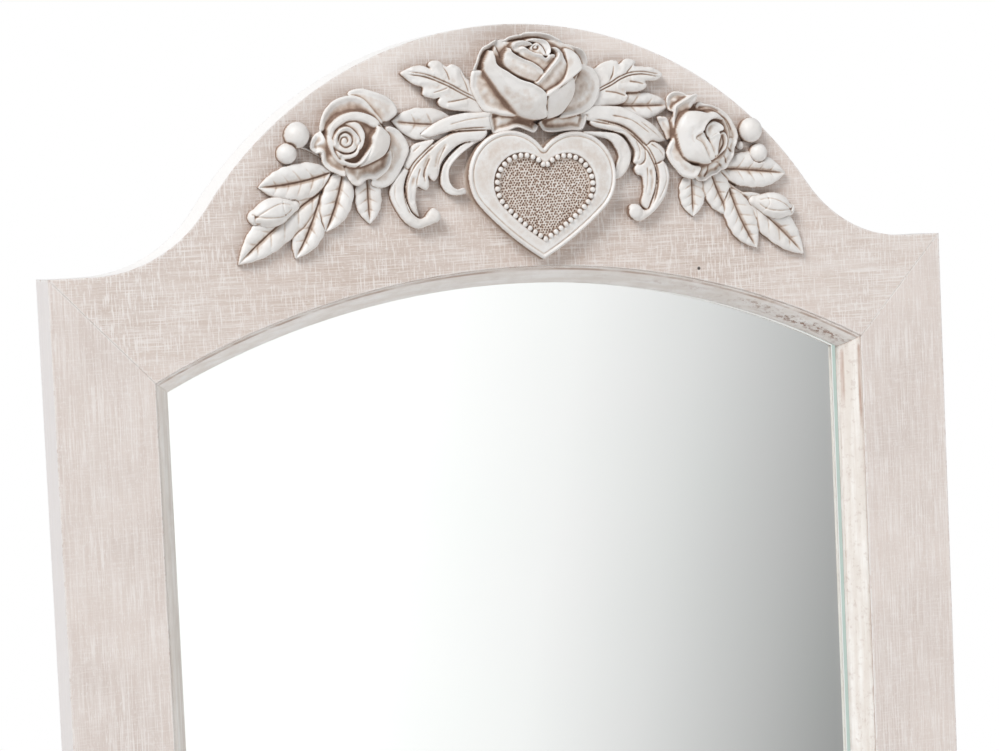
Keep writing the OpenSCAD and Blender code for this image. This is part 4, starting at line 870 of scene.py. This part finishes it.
left_rose.petal(  # the second petal around the eye
    [(-104, 70.5, 10), (-99, 71, 10.8), (-96, 69, 11.3), (-94, 64.5, 11.8), (-95, 59.5, 12), (-97, 57, 11.5),
     (-97, 62, 11), (-99.5, 66.5, 10.5), (-103, 69, 10)],
    bulge=0.5, edge=0.8)
left_rose.petal(  # the eye, with its spiral
    [(-110.5, 60, 11), (-110, 64.5, 11.5), (-107, 68, 12), (-102.5, 68.5, 12.2), (-98.5, 65, 12.2),
     (-97, 61, 12), (-100, 56.5, 11.5), (-104, 55.5, 11), (-108, 57, 10.8)],
    (0, 5), roll=0.5, hollow=0.8, wide=0.9, edge=0.9)
left_rose.grooves(
    1.1, 0.42, 0.6,
    [(-108.2, 60.5), (-107.5, 64.6), (-104.4, 66), (-101.2, 64), (-101.4, 60), (-104.6, 58.4), (-107, 60.4),
     (-106.2, 63.2), (-104, 63.2), (-103.6, 61.2), (-105.2, 60.6)])
left_rose.petal(  # below the eye
    [(-109, 57, 10), (-105, 55, 10.5), (-100, 56, 11), (-97, 61, 11.5), (-96.5, 59, 12), (-99, 54, 12),
     (-104.5, 52.5, 11.5), (-107.5, 53.5, 10.5)],
    bulge=0.5, edge=0.8)
left_rose.petal(  # the cup's left wall
    [(-113, 65, 9), (-110.5, 62.5, 9.5), (-110, 57.5, 10), (-107, 52.5, 10), (-102, 49, 10),
     (-96.5, 48.5, 9.5), (-101.5, 48.5, 8.5), (-108, 51.5, 8), (-111.5, 57, 8), (-113, 61.5, 8)],
    bulge=0.5, edge=0.9)
left_rose.petal(  # the petal across the front
    [(-107, 54.5, 9.5), (-104, 51.5, 10.5), (-99, 50.5, 11.5), (-95.5, 53.5, 12), (-91, 59.5, 12.5),
     (-90.5, 63.5, 12.5), (-86.5, 68, 12.5), (-85.5, 66.5, 12.8), (-89.5, 60.5, 13), (-93.5, 53, 12.8),
     (-98, 49, 12), (-103, 49, 11), (-106.5, 52, 10)],
    bulge=0.5, edge=0.9)
left_rose.petal(  # its fold
    [(-87, 68.5, 13), (-81, 64.5, 12), (-80.5, 59.5, 11), (-83.5, 54, 10.5), (-90, 50.5, 10.5),
     (-97, 48.5, 10.5), (-94, 52.5, 12.5), (-91, 58, 13.5), (-89.5, 63.5, 13.8)],
    bulge=1.3, edge=1.4)

# ------------------------------------------------------------------ right rose
right_rose = Relief(68, 30, 122, 88)
right_rose.petal(  # the ground between the petals
    [(78, 62, 5), (83, 49, 5), (92, 42, 5), (103, 42, 5), (111, 50, 5), (111, 62, 5), (103, 70, 5),
     (92, 75, 5), (82, 71, 5)],
    tint=0.45)
right_rose.petal(  # behind, top
    [(77.5, 76.5, 4.5), (78, 79.5, 4.5), (80.5, 81.5, 5), (84.5, 82, 5), (88.5, 80.5, 5.5), (90, 79, 6),
     (85, 76.5, 6), (81.5, 72, 5), (79, 72, 4.5)],
    (0, 5), roll=0.6, hollow=0.9, wide=1.1, tint=0.1)
right_rose.petal(  # behind, right
    [(94.5, 75, 5), (96.5, 76, 5.5), (100.5, 75, 5.5), (105, 74, 5.5), (109, 72, 5.5), (113.5, 68.5, 5),
     (116.5, 64, 5), (118.5, 60, 5), (119, 56.5, 5), (117, 54, 5.5), (111.5, 56, 7), (106, 64, 8),
     (100, 70, 8), (94.5, 71.5, 7)],
    (0, 9), roll=0.5, hollow=0.8, wide=1.2, tint=0.15)
right_rose.grooves(
    0.6, 0.35, 0.45, [(95, 73), (102, 73), (108, 70.5)], [(106.5, 69), (112, 66), (115, 60)],
    [(97, 75.2), (103, 74.6), (107.5, 72.8)])
right_rose.petal(  # a small petal, upper left
    [(72, 68.5, 4), (74.5, 69, 4.5), (77.5, 68, 5), (79, 63.5, 5.5), (80.5, 60, 5.5), (79, 57.5, 5),
     (77, 56.5, 4.5), (76, 60, 4), (74, 64, 4)],
    (0, 3), roll=0.5, edge=0.8, tint=0.25)
right_rose.petal(  # the ruffle, right
    [(118, 56, 5.5), (117, 52, 5.5), (115.5, 47.5, 5.5), (113.5, 43.5, 5.5), (111, 40.5, 5.5), (108, 39.5, 6),
     (105.5, 41, 6.5), (103, 43.5, 8), (105.5, 47, 9), (108.5, 51, 9), (112, 56, 7.5)],
    (0, 6), roll=0.6, hollow=1.0, wide=1.0, wave=0.6)
right_rose.petal(  # below
    [(91.5, 37.5, 5), (94, 34.5, 4.5), (98, 34, 4.5), (102.5, 36.5, 5), (105.5, 37.5, 5), (108, 39.5, 5.5),
     (107, 43, 6.5), (101, 44.5, 8), (94, 43.5, 8), (91.5, 40.5, 6)],
    (0, 5), roll=0.6, hollow=1.2, wide=1.1, wave=0.35)
right_rose.grooves(
    0.6, 0.5, 0.4, [(106.5, 49), (110, 45.5), (111.5, 42.5)], [(109, 53), (113, 50), (115.5, 48.5)],
    [(99, 43), (99.5, 39), (98, 36)])
right_rose.petal(  # lower left
    [(81, 59, 6.5), (78.5, 56, 6), (76.5, 52.5, 5.5), (76, 49, 5.5), (77.5, 45, 5.5), (80, 41.5, 5.5),
     (83, 38, 5.5), (86.5, 36, 6), (91, 35.5, 6.5), (93.5, 37.5, 7), (94.5, 41.5, 8.5), (89, 43.5, 9),
     (84.5, 46.5, 9), (83, 50, 9), (82.5, 54, 8.5), (82, 57.5, 7.5)],
    (1, 10), roll=0.7, hollow=0.8, wide=1.5, bulge=0.4)
right_rose.petal(  # the fold, upper left
    [(80.5, 59, 6), (79.5, 64, 6.5), (80, 70, 7), (80.5, 73.5, 7.5), (82.5, 75.5, 8), (87, 78, 8.5),
     (91, 80, 8.5), (94, 80, 8), (93.5, 77, 8), (92, 74, 8), (89.5, 71.5, 7.5), (86, 69.5, 7), (84, 66, 6.5),
     (82.5, 61, 6)],
    (0, 8), roll=0.8, hollow=0.6, wide=1.2, bulge=0.3)
right_rose.petal(  # the floor of the cup
    [(95, 66, 8.5), (102, 69, 8.5), (108.5, 67.5, 8), (112, 61, 8), (112, 54, 8), (109, 47.5, 8),
     (103.5, 44, 8), (98, 47, 8.5)],
    edge=0.6, tint=0.55)
right_rose.petal(  # the bud
    [(105, 58.5, 10.5), (108.5, 59.5, 10), (110.5, 56, 9.5), (109.5, 51, 9), (106, 48, 9), (103.5, 46, 9.5),
     (101.5, 46, 10), (103, 49.5, 10.5), (104, 53.5, 10.5)],
    (0, 4), roll=0.4, hollow=0.5, wide=0.8, edge=0.7, tint=0.3)
right_rose.grooves(0.9, 0.4, 0.6, [(107, 58.5), (107.5, 53), (104.5, 48)])
right_rose.petal(  # around the bud, from the inside out
    [(98, 57, 12.5), (101.5, 58.5, 12.5), (104.5, 59.5, 12), (105.5, 57, 11.5), (104.5, 53.5, 11.5),
     (104, 50.5, 11.5), (103.5, 47.5, 11), (100.5, 47.5, 11.5), (99.5, 51.5, 12)],
    (0, 3), roll=0.5, hollow=0.3, wide=0.8, edge=0.8, bulge=0.3, shade=0.2)
right_rose.petal(
    [(98, 56.5, 12.5), (96, 59, 12), (97, 63, 11.5), (101, 65.5, 11), (105, 64.5, 11), (107.5, 62.5, 11),
     (107.5, 60.5, 11.5), (105, 59.5, 12), (101.5, 58, 12.5)],
    (1, 6), roll=0.5, hollow=0.3, wide=0.9, edge=0.9, bulge=0.4, shade=0.2)
right_rose.petal(
    [(89.5, 57, 13.5), (94.5, 60, 13), (96.5, 57, 13), (99, 53.5, 12.5), (100.5, 49.5, 12.5),
     (101.5, 46.5, 12), (100.5, 45, 12), (97.5, 45, 12), (95, 49.5, 12.5), (92.5, 53.5, 13)],
    (7, 10), roll=0.4, hollow=0.2, wide=0.8, edge=0.9, bulge=0.4, shade=0.2)
right_rose.petal(  # the big petal in front
    [(80.7, 60, 9.5), (81.2, 64, 11), (83.7, 68.5, 12), (87.5, 71, 12.5), (93.5, 71, 12.5), (98.5, 70, 12.5),
     (102.5, 70.5, 11.5), (106, 68.5, 10.5), (107.5, 66, 10), (102.5, 66.5, 11.5), (99, 65.5, 12.5),
     (96, 62.5, 13.5), (94.5, 60, 14), (90, 57, 14.5), (93.5, 54, 14), (96, 49.5, 13.5), (98, 46, 12.5),
     (99.5, 43.5, 11.5), (95.5, 43, 11.5), (91, 44, 11.5), (86, 45.5, 11), (83.2, 49, 10.5), (81.7, 54, 10)],
    (6, 17), roll=0.7, hollow=0.2, wide=1.3, bulge=1.9, edge=1.5, shade=0.08)

# ------------------------------------------------------------------ scrolls
left_scroll = Relief(-88, 8, -18, 82)
left_scroll.petal(  # the band along the outside, with a knob at its end
    [(-61, 53.5, 5.5), (-69, 49, 4.5), (-75, 44.5, 4), (-79, 37.5, 4), (-79, 31.5, 4.5), (-76, 25, 5),
     (-71.5, 19, 5), (-65.5, 16, 5), (-59, 17.5, 5), (-55, 19.5, 5), (-53.5, 23, 5.2), (-56, 26.5, 5),
     (-59, 25, 5), (-61.5, 22, 5), (-64.5, 21.5, 4.8), (-68.5, 25, 5), (-71, 31.5, 5), (-71, 39.5, 5.2),
     (-67, 47.5, 5.5)],
    bulge=0.6, edge=2.2, tint=0.05)
left_scroll.ball(-56.6, 22.2, 3.6, 1.2, 0.5)
left_scroll.petal(  # the inner curl
    [(-29.5, 59.5, 5.5), (-38, 58.5, 6), (-44, 54.5, 5.6), (-49.5, 48.5, 5), (-51.5, 42.5, 4.6),
     (-51.5, 38, 4.5), (-48.5, 33.5, 4.5), (-43.5, 32, 4.6), (-38, 33, 4.8), (-39, 36, 4.2), (-43, 35.5, 4),
     (-46, 38, 4), (-47, 42.5, 4.4), (-46, 47, 5), (-41, 52.5, 5.4), (-34, 57, 5.6)],
    (8, 15), roll=0.7, wide=0.8, hollow=0.3, edge=1.5, tint=0.05, shade=0.2)
left_scroll.petal(  # the lobe on the outside
    [(-54.5, 61, 5), (-59.5, 60.5, 5), (-65.5, 59, 4.5), (-68, 56, 3.5), (-71.5, 49, 3), (-68.5, 46, 4.5),
     (-62, 50.5, 5), (-56, 57.5, 5.5)],
    edge=1.6, bulge=0.6, tint=0.08)
left_scroll.petal(  # the main leaf
    [(-26, 65, 6), (-41.5, 64.5, 6), (-50.5, 61.5, 6), (-60, 54.5, 5.8), (-67, 47.5, 5.6), (-70.5, 39.5, 5.2),
     (-70.5, 31.5, 4.8), (-68, 25, 4.5), (-64, 22, 4), (-64.5, 25.5, 3.6), (-65.5, 31.5, 3.8), (-64.5, 37, 4),
     (-62, 36, 4.2), (-59.5, 35.5, 4.2), (-58, 38, 4.4), (-58.5, 42.5, 5), (-57, 40.5, 5.4), (-55, 40, 5.4),
     (-53, 42.5, 5.6), (-51, 49, 6), (-45, 55.5, 6.2), (-38, 59, 6.2), (-28.5, 59.5, 6.2)],
    edge=1.7, bulge=0.7, tint=0.06)
left_scroll.petal(  # the upper leaf
    [(-20, 74, 5.5), (-30.5, 74, 6), (-37, 74, 6.2), (-46, 72.5, 6), (-53.5, 69.5, 5.5), (-59, 66, 4.5),
     (-61.5, 63.5, 3), (-57, 62, 4.5), (-50, 63.5, 5.5), (-41, 65, 6), (-20, 65.5, 6)],
    edge=1.8, bulge=0.8, tint=0.04)
left_scroll.grooves(  # wide flutes
    0.6, 1.3, 0.18, [(-57.5, 54), (-60.5, 48.5), (-61, 41.5)], [(-48, 59), (-53, 53.5), (-54.5, 46)],
    [(-66.5, 43), (-68, 36), (-67, 29)])
left_scroll.grooves(  # seams between the lobes
    0.55, 0.34, 0.5, [(-49, 57.5), (-52.5, 50.5), (-53.6, 43.5)], [(-57.5, 52), (-61, 44.5), (-60.4, 39)],
    [(-24, 71.5), (-36, 70.5), (-47, 68)], [(-63, 47), (-65, 41), (-65, 35)], [(-62, 58.5), (-66.5, 55)],
    [(-76.5, 40), (-77, 32), (-73.5, 24)])
left_scroll.grooves(
    0.9, 0.3, 0.8,
    [(-22, 65.5), (-41.5, 65), (-50.5, 61.5), (-60, 54.5), (-67, 47.5), (-70.5, 39.5), (-71, 31.5),
     (-68.5, 24), (-64, 22)],
    apart=0.7)

right_scroll = Relief(20, 8, 88, 82)
right_scroll.petal(  # the band along the outside, with a knob at its end
    [(67.5, 49, 6), (74, 46, 5), (77, 43, 5), (78, 38.5, 5), (77.5, 33.5, 5.2), (75.5, 28, 5.3),
     (71.5, 22.5, 5.4), (66.5, 18, 5.4), (60, 14.5, 5.2), (55.5, 16, 5), (53.5, 19.5, 5), (54, 23, 5),
     (56.5, 24, 5), (59.5, 23, 4.8), (61.5, 21, 4.6), (64, 20.5, 4.6), (67.5, 25.5, 5), (70, 32.5, 5.4),
     (70.5, 40, 5.8)],
    bulge=0.6, edge=2.2, tint=0.05)
right_scroll.ball(57, 19.6, 3.9, 1.15, 0.5)
right_scroll.petal(  # the inner curl
    [(30, 62.5, 5.6), (44.5, 61.5, 5.8), (50, 59.5, 5.8), (54, 55.5, 5.6), (56, 50.5, 5.2), (55.5, 46, 4.8),
     (53.5, 41.5, 4.6), (50, 38, 4.6), (47, 37, 4.8), (44.5, 37.5, 4.6), (46, 41, 4.2), (47.5, 45.5, 4.4),
     (48.5, 49, 4.8), (46.5, 53.5, 5.2), (42, 58, 5.5), (30, 60.5, 5.5)],
    (9, 14), roll=0.5, wide=0.8, hollow=0.2, edge=1.5, tint=0.05, shade=0.2)
right_scroll.petal(  # the lobe on the outside
    [(64, 58, 5.4), (72.5, 54.5, 5), (76, 51, 4.8), (76, 47.5, 4.2), (75, 46, 4.2), (70, 44, 5.2),
     (66, 47, 5.6), (63, 54, 6)],
    edge=1.6, bulge=0.6, tint=0.08)
right_scroll.petal(  # the main leaf
    [(34, 68, 6), (47, 65.5, 6.3), (55.5, 61.5, 6.2), (63.5, 54, 6), (68, 47, 5.8), (70, 40, 5.6),
     (70, 32.5, 5.2), (67.5, 25.5, 4.6), (64.5, 20.5, 4), (61, 24, 3.8), (62.5, 30.5, 4), (62, 37.5, 4),
     (59, 39, 4), (57.5, 42, 4), (58.5, 44, 4.6), (57.5, 45.5, 5), (58, 50.5, 5.6), (56, 56.5, 6),
     (51.5, 60.5, 6.2), (46, 62, 6.2), (34, 65, 6)],
    edge=1.6, bulge=0.6, tint=0.12)
right_scroll.petal(  # its finger
    [(46, 62, 6), (51.5, 60, 6.2), (55.5, 55.5, 6), (58, 50.5, 5.6), (57, 45.5, 5.2), (59, 44.5, 5),
     (61, 44, 5), (63.5, 46, 5.2), (64, 50, 5.6), (63, 53.5, 6), (58, 58.5, 6.3), (51.5, 62, 6.3)],
    edge=1.6, bulge=0.7, tint=0.04)
right_scroll.petal(  # the upper leaf
    [(30, 75, 6), (48, 75, 6.5), (56, 72.5, 6.5), (64.5, 68, 6), (70.5, 64, 5.5), (75, 59, 5),
     (76.5, 56.5, 4), (73, 55.5, 4.5), (68, 56, 5.5), (65, 54, 6), (63.5, 54.5, 6), (55.5, 62, 6.2),
     (47, 66, 6.3), (30, 68.5, 6)],
    edge=1.8, bulge=0.8, tint=0.06)
right_scroll.grooves(  # wide flutes
    0.6, 1.3, 0.18, [(66.5, 42), (67.5, 35), (65.5, 27)], [(50, 64), (58, 58), (62.5, 51)])
right_scroll.grooves(  # seams between the lobes
    0.55, 0.34, 0.5, [(58.5, 57), (60.5, 51), (59.5, 46)], [(64.5, 43), (64.8, 36), (63.6, 28)],
    [(44, 70.5), (56, 67.5), (67, 60)], [(61, 67), (69, 61), (74, 57)], [(67, 55), (72, 51.5), (75, 47.5)],
    [(74.5, 44), (75.5, 35), (70, 24)])
right_scroll.grooves(
    0.9, 0.3, 0.8,
    [(32, 68.4), (47, 65.5), (55.5, 61.5), (63.5, 54), (68, 47), (70.5, 40), (70, 32.5), (68, 26),
     (65.5, 21.5)],
    apart=0.7)

# ------------------------------------------------------------------ leaves, buds and berries
left_leaves = Relief(-168, -4, -80, 60)
left_leaves.ribbon([(-112, 41, 1, 2.6), (-122.5, 34, 1, 2.6), (-132, 29.5, 1.4, 3)], tint=0.25)
left_leaves.ribbon([(-114, 54, 0.7, 2), (-121, 58, 0.7, 2), (-127, 60, 0.7, 2)], tint=0.25)
left_leaves.leaf((-91, 46), (-90.5, 19.5), 14.5, 0, 1.2, 3.6)
left_leaves.leaf((-116, 36), (-131, 4), 16, 1.2, 1.2, 4.2, 5, 1.0)
left_leaves.leaf((-116.5, 36.5), (-161, 2.5), 19, -1.5, 1.2, 4.4, 6)
left_leaves.leaf((-103.5, 48), (-114.5, 16.5), 16.5, 1.0, 1.4, 5.0, 5, 1.2)
left_leaves.leaf((-110, 46.5), (-149, 40.3), 18.5, 1.5, 1.4, 5.2, 6, -0.8)

right_leaves = Relief(80, -12, 166, 56)
right_leaves.ribbon([(112, 33, 1.1, 2.6), (121, 27, 1.1, 2.8), (130, 22, 1.5, 3)], tint=0.25)
right_leaves.ribbon([(114, 47, 0.8, 2), (121, 48, 0.8, 2), (128, 48.5, 0.8, 2)], tint=0.25)
right_leaves.leaf((91.5, 40), (91.8, 15.5), 15, 0, 1.2, 3.6)
right_leaves.leaf((102, 42), (113.5, 15), 16, -1, 1.4, 4.4)
right_leaves.leaf((119, 27), (157.5, -7.5), 18.5, 1.5, 1.2, 4.2, 6)
right_leaves.leaf((113.5, 30), (129, -2.8), 17, -1.5, 1.4, 4.6, 6)
right_leaves.leaf((108, 40.5), (148, 36.5), 18.5, 0.3, 1.4, 5.0, 6, -0.8)

crest_leaves = Relief(-84, 58, 88, 108)
crest_leaves.leaf((-41, 68), (-76.5, 71), 17, 0.5, 1.2, 3.4, 4)
crest_leaves.leaf((44, 75.5), (81, 75), 14.5, -0.3, 1.2, 3.6, 4)
crest_leaves.petal(  # the lobed leaf, left
    [(-20, 72, 4), (-26, 86, 4.5), (-34, 91, 4.5), (-36, 93, 4.5), (-38.5, 97, 5), (-43, 99, 5),
     (-45.5, 98, 5), (-47, 98.5, 5.2), (-50.5, 101, 5), (-55, 100.5, 4.8), (-56, 98.5, 5), (-55, 97, 5),
     (-58.5, 98.5, 4.8), (-63.5, 98.5, 4.5), (-67.5, 97, 4), (-71, 95, 3.5), (-68, 92, 4), (-64, 89, 4.3),
     (-59.5, 87.5, 4.6), (-59.5, 84, 4.6), (-57.5, 82.5, 4.8), (-53, 81.5, 5), (-50.5, 82, 5.2),
     (-51.5, 80, 4.8), (-50, 77.5, 4.6), (-44.5, 75.5, 4.5), (-36.5, 74.5, 4)],
    edge=1.3, bulge=0.9, tint=0.04)
crest_leaves.petal(  # the lobed leaf, right
    [(26, 72, 4), (30, 91.5, 4.5), (37, 95, 4.6), (40.5, 97.5, 4.8), (46, 99, 5), (50, 98.5, 5),
     (51, 97, 5.2), (54.5, 99.5, 5), (58, 99.5, 5), (61, 98, 4.8), (60, 96, 4.8), (64.5, 95.5, 4.6),
     (69.5, 95, 4.3), (74.5, 93, 4), (76.5, 91, 3.6), (75, 89, 3.8), (71, 87.5, 4.2), (66, 87.5, 4.8),
     (67, 85.5, 4.8), (64.5, 83, 5), (59.5, 82, 5.2), (54.5, 82, 5.4), (55.5, 80, 5), (53.5, 77, 4.8),
     (48.5, 75.5, 4.6), (42, 75, 4.4)],
    edge=1.3, bulge=0.9, tint=0.04)
crest_leaves.grooves(  # the lobes' raised middles
    -0.55, 1.5, 0,
    [(-41.5, 97), (-41, 91), (-40, 87)], [(-53, 99), (-51.5, 95), (-48, 91)], [(-66, 96.5), (-60, 95.5),
    (-53, 93)], [(-62, 90), (-57, 90), (-51, 89)], [(-56.5, 83.5), (-52, 85), (-45, 86)], [(-47, 77.5),
    (-41, 78.5), (-35, 79)], [(40, 95), (43, 90), (44.5, 87.5)], [(54, 97.5), (52.5, 93.5), (50, 91)],
    [(71, 93.5), (65, 93.5), (58, 93)], [(71, 89.5), (64, 89.5), (57, 89)], [(62, 84.5), (55, 85),
    (48, 85.5)], [(52, 78.5), (46, 79), (40, 79.5)])
crest_leaves.grooves(  # veins between the lobes
    0.6, 0.32, 0.5,
    [(-39, 95.5), (-36.5, 90), (-34.5, 84)], [(-48.5, 99), (-46, 94), (-45, 90.5)], [(-47, 79.5), (-40, 80.5),
    (-34.5, 81.5)], [(-54.5, 84.5), (-50.5, 85.5), (-46, 87)], [(44, 87.5), (46.5, 91.5), (47.5, 96.5)],
    [(54.5, 92), (58.5, 96), (60.5, 98.5)], [(41.5, 83), (48, 82), (54.5, 80)], [(56, 87.8), (61, 87),
    (65, 86)])
crest_leaves.grooves(  # midribs
    0.9, 0.3, 0.75,
    [(-68, 95), (-58.5, 93.5), (-50.5, 90.5), (-44, 87.5), (-37.5, 84), (-27, 79)], [(36, 82.5), (41.5, 85),
    (46, 87), (50.5, 89.5), (56.5, 91.5), (63.5, 92), (70.5, 91), (75.5, 90)],
    apart=0.65)


def rosebud(made, base, tip, r):
    """A closed bud in its sepals."""
    a, b = np.array(base, float), np.array(tip, float)
    side = np.array([-(b - a)[1], (b - a)[0]]) / np.hypot(*(b - a))

    def seam(*places):
        """A line through places along the bud and across it, in its lengths and radii."""
        return [a + (b - a) * s + side * r * k for s, k in places]

    profile = ((0, 0.42, 0.55), (0.14, 0.62, 0.75), (0.32, 0.9, 0.95), (0.52, 1.0, 1.05),
               (0.72, 0.86, 0.95), (0.88, 0.55, 0.7))
    made.ribbon([(*(a + (b - a) * s), r * w, r * 1.15 * h) for s, w, h in profile], power=0.5)
    for turn in (1, -1):
        sepal = seam((0.05, 0.05 * turn), (0.3, 0.42 * turn), (0.62, 0.3 * turn), (0.95, -0.1 * turn))
        made.grooves(0.7, 0.4, 0.5, sepal)
    made.grooves(0.8, 0.4, 0.8, seam((0.8, 0.55), (0.93, 0.35), (0.9, -0.1), (0.98, -0.3)))
    made.grooves(0.5, 0.35, 0.4, seam((0.2, -0.8), (0.3, 0), (0.22, 0.8)))


left_buds, right_buds = Relief(-160, 14, -122, 40), Relief(122, 6, 158, 32)
rosebud(left_buds, (-130.5, 30.5), (-154, 25), 7.4)
rosebud(right_buds, (128, 22.5), (151.5, 16.5), 7)
left_berries, right_berries = Relief(-146, 46, -114, 78), Relief(114, 40, 144, 72)
for x, z, r in ((-127.5, 65.6, 6.7), (-133.2, 56.6, 5.4)):
    left_berries.ball(x, z, r, 0.35)
for x, z, r in ((127.3, 60.2, 6.7), (131.8, 48, 5.2), (121.6, 52.3, 2.4)):
    right_berries.ball(x, z, r, 0.35)

# each piece ends under those that lie over it, which are made first
heart.mesh("heart_relief", "heart_plaque", under=0.0, uneven=0.2)
rose.mesh("centre_rose_relief", "centre_rose", [heart], 0.4)
left_rose.mesh("left_rose_relief", "left_rose", under=0.4)
right_rose.mesh("right_rose_relief", "right_rose", under=0.4)
left_scroll.mesh("left_scroll_relief", "left_scroll", [heart, rose, left_rose])
right_scroll.mesh("right_scroll_relief", "right_scroll", [heart, rose, right_rose])
crest_leaves.mesh("crest_leaves_relief", "crest_leaves",
                  [rose, left_rose, right_rose, left_scroll, right_scroll])
left_buds.mesh("left_bud_relief", "rose_buds")
right_buds.mesh("right_bud_relief", "rose_buds")
left_berries.mesh("left_berries_relief", "left_berries", [left_rose])
right_berries.mesh("right_berries_relief", "right_berries", [right_rose])
left_leaves.mesh("left_leaves_relief", "left_leaves", [left_rose, left_buds, left_berries])
right_leaves.mesh("right_leaves_relief", "right_leaves", [right_rose, right_buds, right_berries])


# ------------------------------------------------------------------ inside the glass
EDGE_IN, PALE_W = 0.3, 0.7  # mm from the glass's edge to the silvering; width of the pale band


def glass_outline(inset, y):
    """The arched outline of the glass, drawn in by inset, at a depth y."""
    half, r = glass_high[0] - inset, glass_high[2] - ARCH_Z - inset
    ends = math.asin(half / r)
    arch = [(r * math.sin(a), ARCH_Z + r * math.cos(a)) for a in np.linspace(ends, -ends, 41)]
    low = glass_low[2] + inset
    return [(x * MM, y * MM, z * MM) for x, z in [(-half, low), (half, low), *arch]]


def glass_piece(name, places, faces, material):
    data = bpy.data.meshes.new(name)
    data.from_pydata(places, [], faces)
    obj = placed(name, data, material)
    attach(obj, BODY)


outline = glass_outline(EDGE_IN, glass_high[1] - 0.1)
glass_piece("silvering", outline, [list(range(len(outline)))], silvering)
# the band of the glass under the moulding: a painted glow, pale green, for the light caught in the glass
lip_half = max(abs(v) for v in (mm_box("left_moulding")[1][0], mm_box("right_moulding")[0][0]))
hidden_w = glass_high[0] - lip_half
count = len(outline)
band_faces = [[i, (i + 1) % count, (i + 1) % count + count, i + count] for i in range(count)]
steps = [glass_outline(inset, glass_low[1] + 0.05) for inset in (EDGE_IN, hidden_w - PALE_W, hidden_w)]
for name, outer, inner, tone in (("glass_green_painted_glow", steps[0], steps[1], (0.47, 0.57, 0.53)),
                                 ("glass_pale_painted_glow", steps[1], steps[2], (0.8, 0.8, 0.79))):
    glass_piece(name, outer + inner, band_faces, glass_glow(name, tone))

# ------------------------------------------------------------------ floor
floor_data = bpy.data.meshes.new("floor")
around = np.linspace(0, 2 * math.pi, 96, endpoint=False)
floor_data.from_pydata([(2.6 * math.cos(a), 2.6 * math.sin(a), 0) for a in around], [], [list(range(96))])
t = Surface("pale_floor")
t.set(t.mix(t.ramp(t.noise((3, 3, 3)), 0.3, 0.7), rgb(244, 243, 241), rgb(248, 247, 246)), 0.9)
placed("floor", floor_data, t.material)

# ------------------------------------------------------------------ light
DOME = 0.465  # the sky's strength on the object
ROOM_FROM, ROOM_TO = math.radians(21.5), math.radians(31.5)  # where the mirrored room turns grey
ROOM = ((0, 1.06), (0.33, 0.93), (0.45, 0.84), (0.575, 0.74), (0.7, 0.615), (0.825, 0.5), (0.94, 0.39),
        (1, 0.34))
KEY, FILL = 350, 25  # watts

world = bpy.data.worlds.new("studio")
scene.world = world
world.use_nodes = True
world.node_tree.nodes.clear()
w = Tree(world.node_tree)
ray = w.node("ShaderNodeLightPath").outputs
towards = w.node("ShaderNodeSeparateXYZ", {0: w.node("ShaderNodeTexCoord").outputs["Generated"]}).outputs
turned = w.math("ARCTAN2", towards["X"], w.times(towards["Y"], -1.0))
turned = w.math("SUBTRACT", turned, w.times(towards["Z"], 0.19))
# the room the mirror shows: white, falling to grey towards the right
room = w.node("ShaderNodeValToRGB", {0: w.ramp(turned, ROOM_FROM, ROOM_TO)})
while len(room.color_ramp.elements) < len(ROOM):
    room.color_ramp.elements.new(0.5)
for stop, (position, grey) in zip(room.color_ramp.elements, ROOM):
    stop.position = position
    stop.color = (grey, grey, grey, 1)
# the sky that lights the object: brighter from the right and from below
level = w.math("SUBTRACT", w.times(towards["X"], 0.4), w.times(towards["Z"], 0.3))
level = w.times(w.math("ADD", level, 1.0), DOME)
sky = w.node("ShaderNodeCombineColor", {0: level, 1: level, 2: level}).outputs[0]
mirrored = w.math("ADD", ray["Is Glossy Ray"], ray["Is Transmission Ray"], clamp=True)
light = w.mix(ray["Is Camera Ray"], w.mix(mirrored, sky, room.outputs[0]), (1, 1, 1, 1))
background = w.node("ShaderNodeBackground", {"Color": light, "Strength": 1.0})
w.tree.links.new(background.outputs[0], w.node("ShaderNodeOutputWorld").inputs[0])


def softbox(name, place, size, power):
    """A square lamp turned to the panel's upper half."""
    lamp = bpy.data.lights.new(name, "AREA")
    lamp.shape = "RECTANGLE"
    lamp.size = lamp.size_y = size
    lamp.energy = power
    holder = bpy.data.objects.new(name, lamp)
    holder.location = place
    holder.rotation_mode = "QUATERNION"
    holder.rotation_quaternion = (Vector(place) - Vector((0, 0, 1.2))).to_track_quat("Z", "Y")
    scene.collection.objects.link(holder)


softbox("key", (-4.0, -3.0, 5.6), 2.5, KEY)
softbox("fill", (3.0, -1.6, 0.2), 1.5, FILL)

# ------------------------------------------------------------------ camera
AZIMUTH, ELEVATION, ROLL = math.radians(22.67), math.radians(3.48), math.radians(-2.59)
EYE = Vector((-0.5723, -1.3438, 1.4323))
ahead = Vector((math.sin(AZIMUTH) * math.cos(ELEVATION), math.cos(AZIMUTH) * math.cos(ELEVATION),
                -math.sin(ELEVATION)))
right = Vector((math.cos(AZIMUTH), -math.sin(AZIMUTH), 0))
up = right.cross(ahead)
right, up = right * math.cos(ROLL) + up * math.sin(ROLL), up * math.cos(ROLL) - right * math.sin(ROLL)
lens = bpy.data.cameras.new("camera")
lens.sensor_width = 36
lens.lens = 100.9
lens.clip_start = 0.05
camera = bpy.data.objects.new("camera", lens)
camera.matrix_world = Matrix([*zip(right, up, -ahead, EYE), (0, 0, 0, 1)])
scene.collection.objects.link(camera)
scene.camera = camera
scene.view_settings.view_transform = "Standard"
